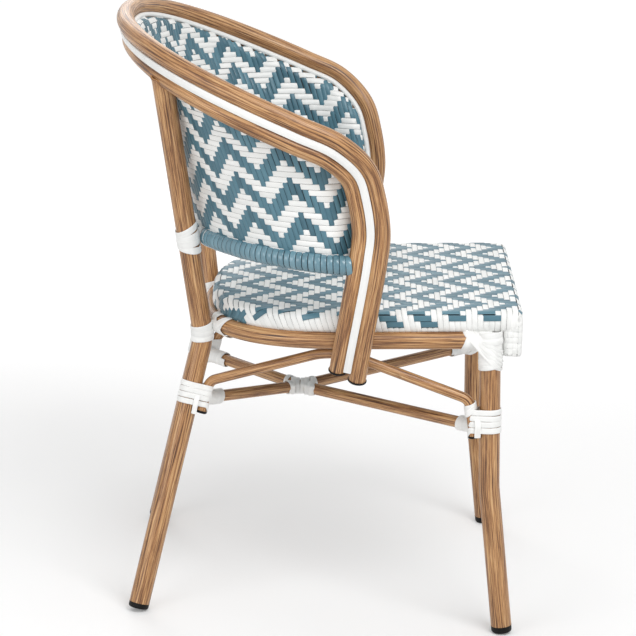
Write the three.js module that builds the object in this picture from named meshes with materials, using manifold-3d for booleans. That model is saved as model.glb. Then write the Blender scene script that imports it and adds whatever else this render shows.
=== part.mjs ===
// Rattan bistro armchair: a bent tube frame with a woven back and seat, and cord lashings at its joints.
// Millimetres, +Z up, front towards -Y. Only the crossed stretchers aren't symmetric about X = 0.
import * as THREE from 'three';
import { mergeVertices } from 'three/addons/utils/BufferGeometryUtils.js';
import Module from 'manifold-3d';

const wasm = await Module();
wasm.setup();

// Clearance between pieces that touch, and the overrun of cuts
const seatingGap = 0.3;
const cutOverrun = 30;

// Frame tubes
const legDiameter = 28;
const outerRailDiameter = 23.5;
const innerRailDiameter = 22.5;
const railSpacing = 28;
const seatTubeDiameter = 24;
const stretcherDiameter = 16;
const braceDiameter = 14;

// Back and arm rail: a horseshoe that is widest beside the sitter and runs down into the arms, whose
// ends hang below the seat frame
const railHalfWidth = 272.5;
const railBackY = 276;
const railWideY = 30;
const railWideHeight = 699;
const railBackHeight = 798;
const armForwardY = -80;
const armEndDrop = 47;
const innerRailShortening = 8;
const stripShortening = 12;
const backRoundnessShare = 2.35;
// Each row places one point of the arm: shares of the half width, of the way forward and of the way down
const armShares = [
  [0.984, 0.46, 0.062],
  [0.921, 0.8, 0.165],
  [0.894, 0.93, 0.28],
  [0.876, 1, 0.42],
  [0.878, 0.97, 0.54],
  [0.86, 0.895, 0.72],
  [0.835, 0.83, 0.865],
  [0.793, 0.778, 1],
];
// The band of two rails tilts towards this place, so that it lies in the surface of the back
const bandAimWidthShare = 0.92;
const bandAimY = 180;
const bandAimHeight = 440;

// White trims that fill the groove between the rails
const stripWidth = 10.5;
const stripThickness = 2.6;
const stripBevel = 1;
const pipingDiameter = 7.6;

// Woven back panel, on the inside of the rails
const panelThickness = 3;
const panelLap = 6;
// Shares of the way round the back, and of the way from there down the arm, where the panel's columns turn
const panelTurnShare = 0.93;
const panelLapShare = 0.08;
const panelCornerShare = 0.12;

// Lower rail of the back, with its cord wrap. It rises this far above the seat frame.
const lowerRailEndRise = 113;
const lowerRailBackRise = 123;
const lowerRailDiameter = 21;
const wrapLoops = 24;
const wrapGap = 2.6;
const wrapEase = 0.6;

// Legs. Insets are from the rail's half width, drops from the seat frame's height, and splays from the
// front leg's top, which stands outside the seat frame.
const rearFootInset = 80.5;
const rearFootY = 234;
const rearBendInset = 165.5;
const rearBendY = 156;
const rearBendDrop = 25;
const rearBendRadius = 70;
const rearTopInset = 65.5;
const frontFootSplay = 22;
const frontFootY = -266;
const frontBendSplay = 15;
const frontBendY = -238.5;
const frontBendHeight = 207;
const frontBendRadius = 160;
const frontTopOutset = 4;
const frontTopY = -230.5;
const footCapDiameter = 26.6;
const footCapHeight = 8;

// Seat: its tube frame, the woven panel on it and the apron in front
const seatFrameHeight = 396;
const armSpacerLength = 1.5;
const seatCurveY = -60;
const seatRoundnessShare = 2.55;
const seatSlopeShare = 0.04;
const seatPanelOverhang = 6;
const seatPanelBackY = 147;
const seatPanelHeight = 28.5;
const seatRollWidth = 30;
const seatRollEdge = 9;
const seatSkin = 4;
const seatCrown = 2;
const seatCornerRadius = 16;
const apronFrontY = -272.5;
const apronDepth = 22.5;
const apronHeight = 62;
const apronInset = 2;
const apronEdgeRadius = 7;

// Stretchers, which hang below the seat frame, and the side braces, whose heights follow the stretchers
const stretcherEndDrop = 111;
const stretcherCentreDrop = 6;
const braceEndDrop = 23;
const braceTurnRise = 40;
const braceTurnRadius = 16;
const braceCrownInset = 7;
const braceCrownRearY = 26;
const braceCrownFrontY = -70;
const braceCrownRadius = 170;
const spacerDiameter = 11;
const braceClearShare = 1.03;

// Cord lashings
const cordThickness = 1.3;
const cordGap = 0.7;
const cordEase = 0.8;
const cordPitch = 8;
const legLashingPitch = 7;
const legLashingLift = 5;
const legLashingLoops = 4;
const legLashingLoopsBelow = 1;
const partingShare = 0.8;
const seatLashingLoops = 3;
const backLashingLoops = 2;
const backLashingPitch = 11;
const cornerLashingLoops = 4;
const cornerLashingPitch = 9;
const cornerLashingDrop = 40;
const cornerCordShare = 0.78;
const centreLashingLoops = 5;
const sleeveLoops = 3;

// End plugs
const plugThickness = 2.4;
const plugEdge = 0.8;

// Facets
const tubeSides = 10;
const slimSides = 8;
const railSteps = 56;
const seatRailSteps = 36;
const lowerRailSteps = 40;
const bendSteps = 5;
const loopSteps = 12;
const arcSteps = 7;
const panelColumns = 26;
const panelRows = 5;
const braceArcPoints = 5;
const plugSides = 16;

const woodFinish = { color: 0xa8794b, roughness: 0.5, metalness: 0.1 };
const whiteCord = { color: 0xf2f2ee, roughness: 0.45, metalness: 0 };
const tealCord = { color: 0x5f8ba3, roughness: 0.4, metalness: 0 };
const blackPlastic = { color: 0x161514, roughness: 0.6, metalness: 0 };
const plainMetal = { color: 0xb9bcbf, roughness: 0.35, metalness: 0.9 };

const chair = new THREE.Group();
const up = new THREE.Vector3(0, 0, 1);
const sideways = new THREE.Vector3(1, 0, 0);
const vec = (x, y, z) => new THREE.Vector3(x, y, z);
const along = (point, direction, distance) => point.clone().addScaledVector(direction, distance);
const towards = (from, to) => to.clone().sub(from).normalize();
const across = (direction, axis) => along(direction, axis, -direction.dot(axis)).normalize();

function addPart(name, geometry, finish) {
  const mesh = new THREE.Mesh(geometry, new THREE.MeshStandardMaterial(finish));
  mesh.name = name;
  chair.add(mesh);
  return mesh;
}

function solidFrom(positions, indices) {
  const geometry = new THREE.BufferGeometry();
  geometry.setAttribute('position', new THREE.Float32BufferAttribute(positions, 3));
  geometry.setIndex(indices);
  geometry.computeVertexNormals();
  return geometry;
}

// A closed body that joins rings of points, each counter-clockwise as seen from the end
function skinned(rings) {
  const positions = rings.flat().flatMap((p) => [p.x, p.y, p.z]);
  const indices = [];
  const sides = rings[0].length;
  for (let i = 0; i < rings.length - 1; i += 1) {
    for (let j = 0; j < sides; j += 1) {
      const here = i * sides + j;
      const next = i * sides + ((j + 1) % sides);
      indices.push(here, next, next + sides, here, next + sides, here + sides);
    }
  }
  const last = (rings.length - 1) * sides;
  for (let j = 1; j < sides - 1; j += 1) {
    indices.push(0, j + 1, j, last, last + j, last + j + 1);
  }
  return solidFrom(positions, indices);
}

// A section of [a, b] pairs swept along stations: a is measured along across, and b along out
function sweep(stations, section) {
  return skinned(stations.map((station) =>
    section.map(([a, b]) => along(along(station.point, station.across, a), station.out, b))));
}

function tangents(points) {
  return points.map((p, i) =>
    towards(points[Math.max(i - 1, 0)], points[Math.min(i + 1, points.length - 1)]));
}

// Stations whose section turns as little as possible from one point to the next
function tubeStations(points) {
  const directions = tangents(points);
  let out = across(Math.abs(directions[0].z) < Math.SQRT1_2 ? up : sideways, directions[0]);
  return points.map((point, i) => {
    out = across(out, directions[i]);
    return { point, out, across: out.clone().cross(directions[i]), direction: directions[i] };
  });
}

function circle(radius, sides) {
  return Array.from({ length: sides }, (_, i) => {
    const angle = (2 * Math.PI * i) / sides;
    return [radius * Math.cos(angle), radius * Math.sin(angle)];
  });
}

function roundTube(points, diameter, sides = tubeSides) {
  return sweep(tubeStations(points), circle(diameter / 2, sides));
}

// The space that a round tube needs, with its clearance, whatever way its facets lie
function clearTube(points, diameter, sides = tubeSides) {
  return roundTube(points, (diameter + 2 * seatingGap) / Math.cos(Math.PI / sides), sides);
}

function curvedTube(curve, diameter, steps, sides = tubeSides) {
  const section = new THREE.Shape(circle(diameter / 2, sides).map(([a, b]) => new THREE.Vector2(a, b)));
  return new THREE.ExtrudeGeometry(section, { steps, extrudePath: curve, bevelEnabled: false });
}

// A path of straight runs whose corners are rounded to their radii
function bentPath(corners, radii) {
  const points = [corners[0]];
  for (let i = 1; i < corners.length - 1; i += 1) {
    const radius = radii[i - 1];
    const back = towards(corners[i], corners[i - 1]);
    const ahead = towards(corners[i], corners[i + 1]);
    const half = back.angleTo(ahead) / 2;
    const centre = along(corners[i], back.clone().add(ahead).normalize(), radius / Math.sin(half));
    const from = along(corners[i], back, radius / Math.tan(half)).sub(centre);
    const to = along(corners[i], ahead, radius / Math.tan(half)).sub(centre);
    const axis = from.clone().cross(to).normalize();
    for (let k = 0; k <= bendSteps; k += 1) {
      points.push(from.clone().applyAxisAngle(axis, (from.angleTo(to) * k) / bendSteps).add(centre));
    }
  }
  points.push(corners[corners.length - 1]);
  return points;
}

// The place along a list of points where a measure first passes a value, as a whole index and a share
function crossing(points, measure, value) {
  const excess = points.map((p) => measure(p) - value);
  const index = excess.findIndex((here, i) => i > 0 && here * excess[i - 1] <= 0);
  return index - 1 + excess[index - 1] / (excess[index - 1] - excess[index]);
}

function pointAt(points, place) {
  const index = Math.min(Math.floor(place), points.length - 2);
  return points[index].clone().lerp(points[index + 1], place - index);
}

const pointWhere = (points, measure, value) => pointAt(points, crossing(points, measure, value));
const heightOf = (p) => p.z;

// A value between two limits at which a rising measure reaches a target
function solveFor(target, low, high, measure) {
  const rounds = 40;
  let [from, to] = [low, high];
  for (let i = 0; i < rounds; i += 1) {
    const middle = (from + to) / 2;
    if (measure(middle) < target) from = middle;
    else to = middle;
  }
  return (from + to) / 2;
}

function toManifold(geometry) {
  const bare = geometry.clone();
  bare.deleteAttribute('normal');
  bare.deleteAttribute('uv');
  const merged = mergeVertices(bare);
  return new wasm.Manifold(new wasm.Mesh({
    numProp: 3,
    vertProperties: new Float32Array(merged.attributes.position.array),
    triVerts: new Uint32Array(merged.index.array),
  }));
}

function cut(geometry, tools) {
  const solid = tools.reduce((body, tool) => body.subtract(toManifold(tool)), toManifold(geometry));
  const mesh = solid.getMesh();
  return solidFrom(Array.from(mesh.vertProperties), Array.from(mesh.triVerts));
}

// Heights that follow the seat frame's
const armEndHeight = seatFrameHeight - armEndDrop;
const rearBendHeight = seatFrameHeight - rearBendDrop;
const lowerRailEndHeight = seatFrameHeight + lowerRailEndRise;
const lowerRailBackHeight = seatFrameHeight + lowerRailBackRise;
const stretcherEndHeight = seatFrameHeight - stretcherEndDrop;
const stretcherCentreHeight = stretcherEndHeight - stretcherCentreDrop;
const braceEndHeight = stretcherEndHeight - braceEndDrop;
const braceTurnHeight = stretcherEndHeight + braceTurnRise;
const seatHeightAt = (y) => seatFrameHeight - seatSlopeShare * y;

// Back and arm rails
const outerRailRadius = outerRailDiameter / 2;
const innerRailRadius = innerRailDiameter / 2;
const legRadius = legDiameter / 2;
const seatTubeRadius = seatTubeDiameter / 2;
const rounded = (value, roundnessShare) => Math.abs(value) ** (2 / roundnessShare);

function halfRailPoints() {
  const rearPoints = 8;
  const points = Array.from({ length: rearPoints + 1 }, (_, i) => {
    const angle = (Math.PI / 2) * (i / rearPoints);
    const backShare = rounded(Math.cos(angle), backRoundnessShare);
    return vec(
      railHalfWidth * rounded(Math.sin(angle), backRoundnessShare),
      railWideY + (railBackY - railWideY) * backShare,
      railWideHeight + (railBackHeight - railWideHeight) * backShare,
    );
  });
  armShares.forEach(([widthShare, forwardShare, downShare]) => points.push(vec(
    railHalfWidth * widthShare,
    railWideY + (armForwardY - railWideY) * forwardShare,
    railWideHeight + (armEndHeight - railWideHeight) * downShare,
  )));
  return points;
}

const halfRail = halfRailPoints();
const mirrored = (p) => vec(-p.x, p.y, p.z);
const railCurve = new THREE.CatmullRomCurve3(
  [...halfRail.slice(1).reverse().map(mirrored), ...halfRail],
  false,
  'centripetal',
);

// Stations from the left arm's end to the right one's, with the direction across the band and outwards
const railPoints = railCurve.getSpacedPoints(railSteps);
const bandStations = tangents(railPoints).map((direction, i) => {
  const point = railPoints[i];
  const aim = vec(point.x * bandAimWidthShare, bandAimY, bandAimHeight).sub(point);
  const acrossBand = across(aim, direction);
  return { point, direction, across: acrossBand, out: direction.clone().cross(acrossBand) };
});
const innerRailPoints = bandStations.map((station) => along(station.point, station.across, railSpacing));
const rightHalf = (list) => list.slice(railSteps / 2);

function shortened(stations, length) {
  const last = stations.length - 1;
  return stations.map((station, i) => {
    if (i > 0 && i < last) return station;
    return { ...station, point: along(station.point, station.direction, i === 0 ? length : -length) };
  });
}

function addRails() {
  addPart('outer_rail', curvedTube(railCurve, outerRailDiameter, railSteps), woodFinish);
  const inner = shortened(bandStations, innerRailShortening);
  const section = circle(innerRailRadius, tubeSides).map(([a, b]) => [a + railSpacing, b]);
  addPart('inner_rail', sweep(inner, section), woodFinish);
}

// The trims lie in the groove, clear of both rails
const grooveMiddle = (outerRailRadius + railSpacing - innerRailRadius) / 2;
const rise = (reach, offset) => Math.sqrt(Math.max(reach ** 2 - offset ** 2, 0));

function addTrims() {
  const half = stripWidth / 2;
  const low = seatingGap + Math.max(
    rise(outerRailRadius, grooveMiddle - half),
    rise(innerRailRadius, railSpacing - grooveMiddle - half),
  );
  const high = low + stripThickness;
  const flat = [
    [grooveMiddle - half, low],
    [grooveMiddle + half, low],
    [grooveMiddle + half - stripBevel, high],
    [grooveMiddle - half + stripBevel, high],
  ];
  const trimmed = shortened(bandStations, stripShortening);
  addPart('outer_strip', sweep(trimmed, flat), whiteCord);
  const pipingRadius = pipingDiameter / 2;
  const depth = Math.max(
    rise(outerRailRadius + pipingRadius + seatingGap, grooveMiddle),
    rise(innerRailRadius + pipingRadius + seatingGap, railSpacing - grooveMiddle),
  );
  const round = circle(pipingRadius, slimSides).map(([a, b]) => [a + grooveMiddle, b - depth]);
  addPart('inner_piping', sweep(trimmed, round), whiteCord);
}

// The seat frame fits between the arms, and the widths below it follow
const armAtSeat = pointWhere(rightHalf(innerRailPoints), (p) => p.z - seatHeightAt(p.y), 0);
const seatFrameHalfWidth = armAtSeat.x - innerRailRadius - armSpacerLength - seatTubeRadius;
const seatPanelHalfWidth = seatFrameHalfWidth + seatPanelOverhang;
const apronHalfWidth = seatPanelHalfWidth - apronInset;
const braceCrownX = seatFrameHalfWidth - braceCrownInset;
const frontTopX = seatFrameHalfWidth + frontTopOutset;
const frontBendX = frontTopX + frontBendSplay;
const frontFootX = frontTopX + frontFootSplay;

// Legs. Their axes are found first, because the rails, braces and lashings follow them.
const rearTop = pointWhere(rightHalf(innerRailPoints).slice(1), (p) => p.x, railHalfWidth - rearTopInset);
const rearFoot = vec(railHalfWidth - rearFootInset, rearFootY, 0);
const rearBend = vec(railHalfWidth - rearBendInset, rearBendY, rearBendHeight);
const rearLegPath = bentPath([rearFoot, rearBend, rearTop], [rearBendRadius]);
const frontFoot = vec(frontFootX, frontFootY, 0);
const frontTop = vec(frontTopX, frontTopY, seatHeightAt(frontTopY) + seatTubeRadius);
const frontBend = vec(frontBendX, frontBendY, frontBendHeight);
const frontLegPath = bentPath([frontFoot, frontBend, frontTop], [frontBendRadius]);
const sides = [['left', -1], ['right', 1]];
const flip = (p, side) => vec(p.x * side, p.y, p.z);

// A tube's centre and direction at a height
function axisAt(path, height) {
  const place = crossing(path, heightOf, height);
  const index = Math.floor(place);
  return { centre: pointAt(path, place), direction: towards(path[index], path[index + 1]) };
}

function trimmedPath(path, startCut, endCut) {
  const last = path.length - 1;
  const trimmed = path.slice();
  trimmed[0] = along(path[0], towards(path[0], path[1]), startCut);
  trimmed[last] = along(path[last], towards(path[last], path[last - 1]), endCut);
  return trimmed;
}

function addFootCap(name, path) {
  const direction = towards(path[0], path[1]);
  const overrun = footCapDiameter / 2;
  const cap = new THREE.CylinderGeometry(
    footCapDiameter / 2,
    footCapDiameter / 2,
    footCapHeight + overrun - seatingGap,
    2 * tubeSides,
  );
  cap.applyQuaternion(new THREE.Quaternion().setFromUnitVectors(vec(0, 1, 0), direction));
  const middle = along(path[0], direction, (footCapHeight - overrun - seatingGap) / 2);
  cap.translate(middle.x, middle.y, middle.z);
  const floor = new THREE.BoxGeometry(2 * footCapDiameter, 2 * footCapDiameter, cutOverrun);
  floor.translate(path[0].x, path[0].y, -cutOverrun / 2);
  addPart(name, cut(cap, [floor]), blackPlastic);
}

// A tube's neighbours are cut to its shape this far from the joint
const jointLength = 3 * legDiameter;

function addLegs() {
  const nearJoint = innerRailPoints.filter((p) => p.distanceTo(rearTop) < jointLength);
  sides.forEach(([sideName, side]) => {
    const rear = trimmedPath(rearLegPath, footCapHeight, innerRailRadius / 2).map((p) => flip(p, side));
    const saddle = clearTube(nearJoint.map((p) => flip(p, side)), innerRailDiameter);
    addPart(`rear_leg_${sideName}`, cut(roundTube(rear, legDiameter), [saddle]), woodFinish);
    const front = trimmedPath(frontLegPath, footCapHeight, 0).map((p) => flip(p, side));
    addPart(`front_leg_${sideName}`, roundTube(front, legDiameter), woodFinish);
    addFootCap(`rear_foot_cap_${sideName}`, rearLegPath.map((p) => flip(p, side)));
    addFootCap(`front_foot_cap_${sideName}`, frontLegPath.map((p) => flip(p, side)));
  });
}

// A rail that curves round the back of the chair, from one side to the other
class HorseshoeCurve extends THREE.Curve {
  constructor({ halfWidth, frontY, curveY, backY, frontHeight, backHeight, roundnessShare }) {
    super();
    Object.assign(this, { halfWidth, frontY, curveY, backY, frontHeight, backHeight, roundnessShare });
    this.straight = curveY - frontY;
    this.bend = (Math.PI / 2) * ((halfWidth + backY - curveY) / 2);
  }

  getPoint(share, target = new THREE.Vector3()) {
    const travel = Math.abs(2 * share - 1) * (this.straight + this.bend);
    const side = Math.sign(2 * share - 1);
    const angle = Math.min(travel / this.bend, 1) * (Math.PI / 2);
    const wide = rounded(Math.sin(angle), this.roundnessShare);
    const back = rounded(Math.cos(angle), this.roundnessShare);
    const curvedY = this.curveY + (this.backY - this.curveY) * back;
    const y = travel > this.bend ? this.curveY + this.bend - travel : curvedY;
    const heightShare = (y - this.frontY) / (this.backY - this.frontY);
    const z = this.frontHeight + (this.backHeight - this.frontHeight) * heightShare;
    return target.set(side * this.halfWidth * wide, y, z);
  }
}

const contactSamples = 200;
const nearestOn = (curve, point) => curve.getPoints(contactSamples).reduce((best, p) =>
  (p.distanceTo(point) < best.distanceTo(point) ? p : best));

// The shortest way from a curve to a leg's axis
function contactWith(curve, path) {
  const low = Math.min(curve.frontHeight, curve.backHeight);
  const high = Math.max(curve.frontHeight, curve.backHeight);
  let best = { distance: Infinity };
  const levels = 8;
  for (let i = 0; i <= levels; i += 1) {
    const leg = axisAt(path, low + (high - low) * (i / levels));
    const rail = nearestOn(curve, leg.centre);
    const distance = rail.distanceTo(leg.centre);
    if (distance < best.distance) best = { distance, leg, rail };
  }
  return best;
}

// A horseshoe whose back reaches just far enough to touch the rear legs
function horseshoeAgainstLegs(shape, reach) {
  const curveFor = (backY) => new HorseshoeCurve({ ...shape, backY, ...shape.heights(backY) });
  const lowest = shape.curveY + shape.halfWidth / 2;
  const backY = solveFor(-reach, lowest, rearFootY, (y) => -contactWith(curveFor(y), rearLegPath).distance);
  return curveFor(backY);
}

const seatRailCurve = horseshoeAgainstLegs({
  halfWidth: seatFrameHalfWidth,
  frontY: frontTopY,
  curveY: seatCurveY,
  roundnessShare: seatRoundnessShare,
  heights: (backY) => ({ frontHeight: seatHeightAt(frontTopY), backHeight: seatHeightAt(backY) }),
}, legRadius + seatTubeRadius + seatingGap);

const armTubeAtLowerRail = pointWhere(rightHalf(innerRailPoints), heightOf, lowerRailEndHeight);
const lowerRailReach = lowerRailDiameter / 2 + wrapEase;
const wrapRadius = (lowerRailReach + seatingGap) / Math.cos(Math.PI / loopSteps) + cordThickness;
const lowerRailFrontY = armTubeAtLowerRail.y + innerRailRadius + seatingGap;
const lowerRailCurve = horseshoeAgainstLegs({
  halfWidth: armTubeAtLowerRail.x,
  frontY: lowerRailFrontY,
  curveY: lowerRailFrontY,
  roundnessShare: 2,
  heights: () => ({ frontHeight: lowerRailEndHeight, backHeight: lowerRailBackHeight }),
}, legRadius + wrapRadius + seatingGap);

function addSeatFrame() {
  const rail = curvedTube(seatRailCurve, seatTubeDiameter, seatRailSteps);
  const saddles = sides.map(([, side]) => {
    const leg = frontLegPath.map((p) => flip(p, side));
    leg.push(along(frontTop, up, cutOverrun).multiply(vec(side, 1, 1)));
    return clearTube(leg, legDiameter);
  });
  addPart('seat_frame_rail', cut(rail, saddles), woodFinish);
}

// Cord. Stations lie on the cord's inner face.
function ribbonSection(width) {
  return [[-width / 2, 0], [width / 2, 0], [width / 2, cordThickness], [-width / 2, cordThickness]];
}

function leastGap(stations, width, steps) {
  const edge = (station, side) => along(station.point, station.across, (side * width) / 2);
  let least = Infinity;
  for (let i = 0; i < stations.length; i += 1) {
    for (let j = i + Math.ceil(steps / 2); j < stations.length; j += 1) {
      [[1, -1], [-1, 1]].forEach(([a, b]) => {
        least = Math.min(least, edge(stations[i], a).distanceTo(edge(stations[j], b)));
      });
    }
  }
  return least;
}

function addCord(name, stations, width, steps, finish = whiteCord) {
  addPart(name, sweep(stations, ribbonSection(width)), finish);
  console.log(`${name}: least gap to itself ${leastGap(stations, width, steps).toFixed(2)} mm`);
}

const chordSpread = (steps) => 1 / Math.cos(Math.PI / steps);

// A helix round a curved or straight rod. The cord's width lies along the rod.
function addHelix(name, rodPoints, rodRadius, { loops, gap, finish }) {
  const curve = new THREE.CatmullRomCurve3(rodPoints);
  const count = loops * loopSteps;
  const pitch = curve.getLength() / (loops + 1);
  const width = pitch - gap;
  const margin = pitch / 2 / curve.getLength();
  const shareAt = (i) => margin + (1 - 2 * margin) * (i / count);
  const centres = Array.from({ length: count + 1 }, (_, i) => curve.getPointAt(shareAt(i)));
  const reach = (rodRadius + seatingGap) * chordSpread(loopSteps);
  const stations = tubeStations(centres).map((frame, i) => {
    const turn = (-2 * Math.PI * i) / loopSteps;
    const out = along(frame.out.clone().multiplyScalar(Math.cos(turn)), frame.across, Math.sin(turn));
    return { point: along(frame.point, out, reach), out, across: frame.direction };
  });
  addCord(name, stations, width, loopSteps, finish);
}

// Part of a turn round a tube, from one angle to another. Face and side are directions from its axis.
function arc({ centre, face, side, faceReach, sideReach = faceReach, from, to, steps = arcSteps }) {
  return Array.from({ length: steps + 1 }, (_, i) => {
    const angle = from + (to - from) * (i / steps);
    const point = along(along(centre, face, faceReach * Math.cos(angle)), side, sideReach * Math.sin(angle));
    const out = face.clone().multiplyScalar(Math.cos(angle)).addScaledVector(side, Math.sin(angle));
    return { point, out };
  });
}

function ribbonStations(path) {
  const directions = tangents(path.map((station) => station.point));
  return path.map(({ point, out }, i) => {
    const square = across(out, directions[i]);
    return { point, out: square, across: square.clone().cross(directions[i]) };
  });
}

const spacedAngles = (from, to, count) =>
  Array.from({ length: count }, (_, i) => from + (to - from) * (i / (count - 1)));

// Bands round a leg and a brace's end beside it. They part above and below the leg's stretcher.
function addLegLashing(name, { centre, direction, aside, stretcherSide }) {
  const legReach = (legRadius + seatingGap) * chordSpread(2 * arcSteps);
  const braceReach = (braceDiameter / 2 + seatingGap) * chordSpread(2 * arcSteps);
  const spacing = legRadius + braceDiameter / 2 + seatingGap;
  const tangent = Math.acos((legReach - braceReach) / spacing);
  const side = direction.clone().cross(aside).normalize();
  const width = legLashingPitch - cordGap;
  const climb = (legLashingPitch * tangent) / (2 * Math.PI);
  const parting = stretcherDiameter / 2 + seatingGap + climb;
  const stretcherExit = along(centre, towards(centre, crossingPoint), legReach + cordThickness);
  const middle = along(centre, direction, stretcherExit.sub(centre).dot(direction));
  const [leave, arrive] = [2 * Math.PI - tangent, 2 * Math.PI + tangent];
  const turnAngles = [
    ...spacedAngles(Math.PI, leave, arcSteps).map((angle) => [angle, false]),
    ...spacedAngles(leave, arrive, braceArcPoints).map((angle) => [angle, true]),
    ...spacedAngles(arrive, 3 * Math.PI, arcSteps + 1).slice(0, -1).map((angle) => [angle, false]),
  ];
  const stations = [];
  for (let loop = 0; loop < legLashingLoops; loop += 1) {
    turnAngles.forEach(([angle, onBrace]) => {
      const out = aside.clone().multiplyScalar(Math.cos(angle)).addScaledVector(side, Math.sin(angle));
      const turns = loop + (angle - Math.PI) / (2 * Math.PI) - legLashingLoopsBelow;
      const offStretcher = angle - 2 * Math.PI - stretcherSide * tangent;
      const nearStretcher = Math.max(Math.cos(offStretcher * partingShare), 0);
      const level = legLashingPitch * turns + legLashingLift * (1 - nearStretcher);
      const height = level + parting * nearStretcher * Math.sign(turns);
      const hub = along(along(middle, direction, height), aside, onBrace ? spacing : 0);
      stations.push({
        point: along(hub, out, onBrace ? braceReach : legReach),
        out,
        across: direction,
      });
    });
  }
  addCord(name, stations, width, turnAngles.length);
}

// Diagonal loops that bind a leg to a rail that crosses it. Kinds 1 and -1 lean opposite ways and cross.
function addCrossLashing(name, { legPath, leg, railAt, railRadius, kinds, pitch }) {
  const rail = railAt(0);
  const facing = towards(leg.centre, rail);
  const railDirection = towards(railAt(-pitch), railAt(pitch));
  const side = leg.direction.clone().cross(facing).normalize();
  const railSense = Math.sign(railDirection.dot(side));
  const railSide = railDirection.clone().multiplyScalar(railSense);
  const railUp = facing.clone().cross(railSide).normalize();
  const away = across(facing, leg.direction).negate();
  const layerDepth = cordThickness + cordGap;
  const spread = chordSpread(2 * arcSteps);
  const crossed = kinds.includes(-1);
  const layerOf = (kind) => (kind < 0 ? layerDepth : 0);
  const middle = (kinds.length - 1) / 2;
  const quarter = Math.PI / 2;
  const legArc = (k) => {
    const kind = kinds[Math.min(k, kinds.length - 1)];
    const reach = (legRadius + seatingGap + cordEase + layerOf(kind)) * spread;
    const { centre } = axisAt(legPath, leg.centre.z + (k - middle) * pitch);
    return arc({ centre, face: away, side, faceReach: reach, from: -quarter, to: quarter });
  };
  const tangentAngles = (point, reach) => {
    const offset = point.clone().sub(rail);
    const [a, b] = [offset.dot(facing), offset.dot(railUp)];
    const angle = (Math.atan2(b, a) + 2 * Math.PI) % (2 * Math.PI);
    const half = Math.acos(reach / Math.hypot(a, b));
    return { low: angle + half - 2 * Math.PI, high: angle - half };
  };
  const path = [];
  kinds.forEach((kind, k) => {
    const onLeg = legArc(k);
    const next = legArc(k + 1)[0].point;
    const reach = (railRadius + seatingGap + cordEase + layerOf(kind)) * spread;
    const arrive = tangentAngles(onLeg[onLeg.length - 1].point, reach);
    const leave = tangentAngles(next, reach);
    const shiftReach = legRadius + seatingGap + layerOf(kind) + pitch / 2;
    const steps = arcSteps + 1;
    const onRail = arc({
      centre: rail,
      face: facing,
      side: railUp,
      faceReach: reach,
      from: kind > 0 ? arrive.low : arrive.high,
      to: kind > 0 ? leave.high : leave.low,
      steps,
    });
    const ownShift = (k - middle) * (crossed ? pitch / 2 : pitch);
    onRail.forEach((station, i) => {
      const shift = ownShift + shiftReach * (1 - (2 * i) / steps);
      station.point.add(railAt(railSense * shift)).sub(rail);
    });
    path.push(...onLeg, ...onRail);
  });
  addCord(name, ribbonStations(path), pitch - cordGap, 2 * arcSteps);
}

// Diagonal loops over a side rail's end and round the front of the leg that it meets
function addCornerLashing(name, side) {
  const spread = chordSpread(2 * arcSteps);
  const quarter = Math.PI / 2;
  const right = sideways.clone().multiplyScalar(side);
  const forward = vec(0, -1, 0);
  const railReach = (seatTubeRadius + seatingGap) * spread;
  const legReach = (legRadius + seatingGap + cordEase) * spread;
  const path = [];
  for (let k = 0; k < cornerLashingLoops; k += 1) {
    const onRailY = frontTopY + legRadius + cornerLashingPitch * (cornerLashingLoops - k);
    const drop = cornerLashingDrop + cornerLashingPitch * (cornerLashingLoops / 2 - k);
    const leg = axisAt(frontLegPath, frontTop.z - drop);
    path.push(...arc({
      centre: vec(side * seatFrameHalfWidth, onRailY, seatHeightAt(onRailY)),
      face: up,
      side: right,
      faceReach: railReach,
      from: -quarter,
      to: quarter,
    }), ...arc({
      centre: flip(leg.centre, side),
      face: forward,
      side: right,
      faceReach: legReach,
      from: quarter,
      to: -quarter,
    }));
  }
  addCord(name, ribbonStations(path), (cornerLashingPitch - cordGap) * cornerCordShare, 2 * arcSteps);
}

// Loops round the crossing of the stretchers, side by side
function addCentreLashing(name, centre, halfAngle) {
  const reach = stretcherDiameter / 2 + seatingGap + cordEase;
  const width = cordPitch - cordGap;
  const path = [];
  for (let k = 0; k < centreLashingLoops; k += 1) {
    [1, -1].forEach((facing, half) => {
      const offset = (k + half / 2 - (centreLashingLoops - 0.5) / 2) * cordPitch;
      const spreadOut = (Math.abs(offset) + cordPitch) / Math.tan(halfAngle);
      path.push(...arc({
        centre: centre.clone().add(vec(facing * spreadOut, offset, 0)),
        face: vec(facing, 0, 0),
        side: vec(0, 0, -facing),
        faceReach: (reach / Math.sin(halfAngle)) * chordSpread(2 * arcSteps),
        sideReach: reach * chordSpread(2 * arcSteps),
        from: -Math.PI / 2,
        to: Math.PI / 2,
        steps: arcSteps - 1,
      }));
    });
  }
  const stations = path.map(({ point, out }) => ({ point, out, across: vec(0, 1, 0) }));
  addCord(name, stations, width, 2 * arcSteps);
}

const stretcherRadius = stretcherDiameter / 2;
const braceRadius = braceDiameter / 2;
const rearLegAxis = axisAt(rearLegPath, stretcherEndHeight);
const frontLegAxis = axisAt(frontLegPath, stretcherEndHeight);
const crossingShare = rearLegAxis.centre.x / (rearLegAxis.centre.x + frontLegAxis.centre.x);
const crossingPoint = vec(
  0,
  rearLegAxis.centre.y + (frontLegAxis.centre.y - rearLegAxis.centre.y) * crossingShare,
  stretcherCentreHeight,
);

function stretcherEnds() {
  return sides.flatMap(([sideName, side]) => [
    [`rear_${sideName}`, flip(rearLegAxis.centre, side), rearLegPath.map((p) => flip(p, side))],
    [`front_${sideName}`, flip(frontLegAxis.centre, side), frontLegPath.map((p) => flip(p, side))],
  ]);
}

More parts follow.
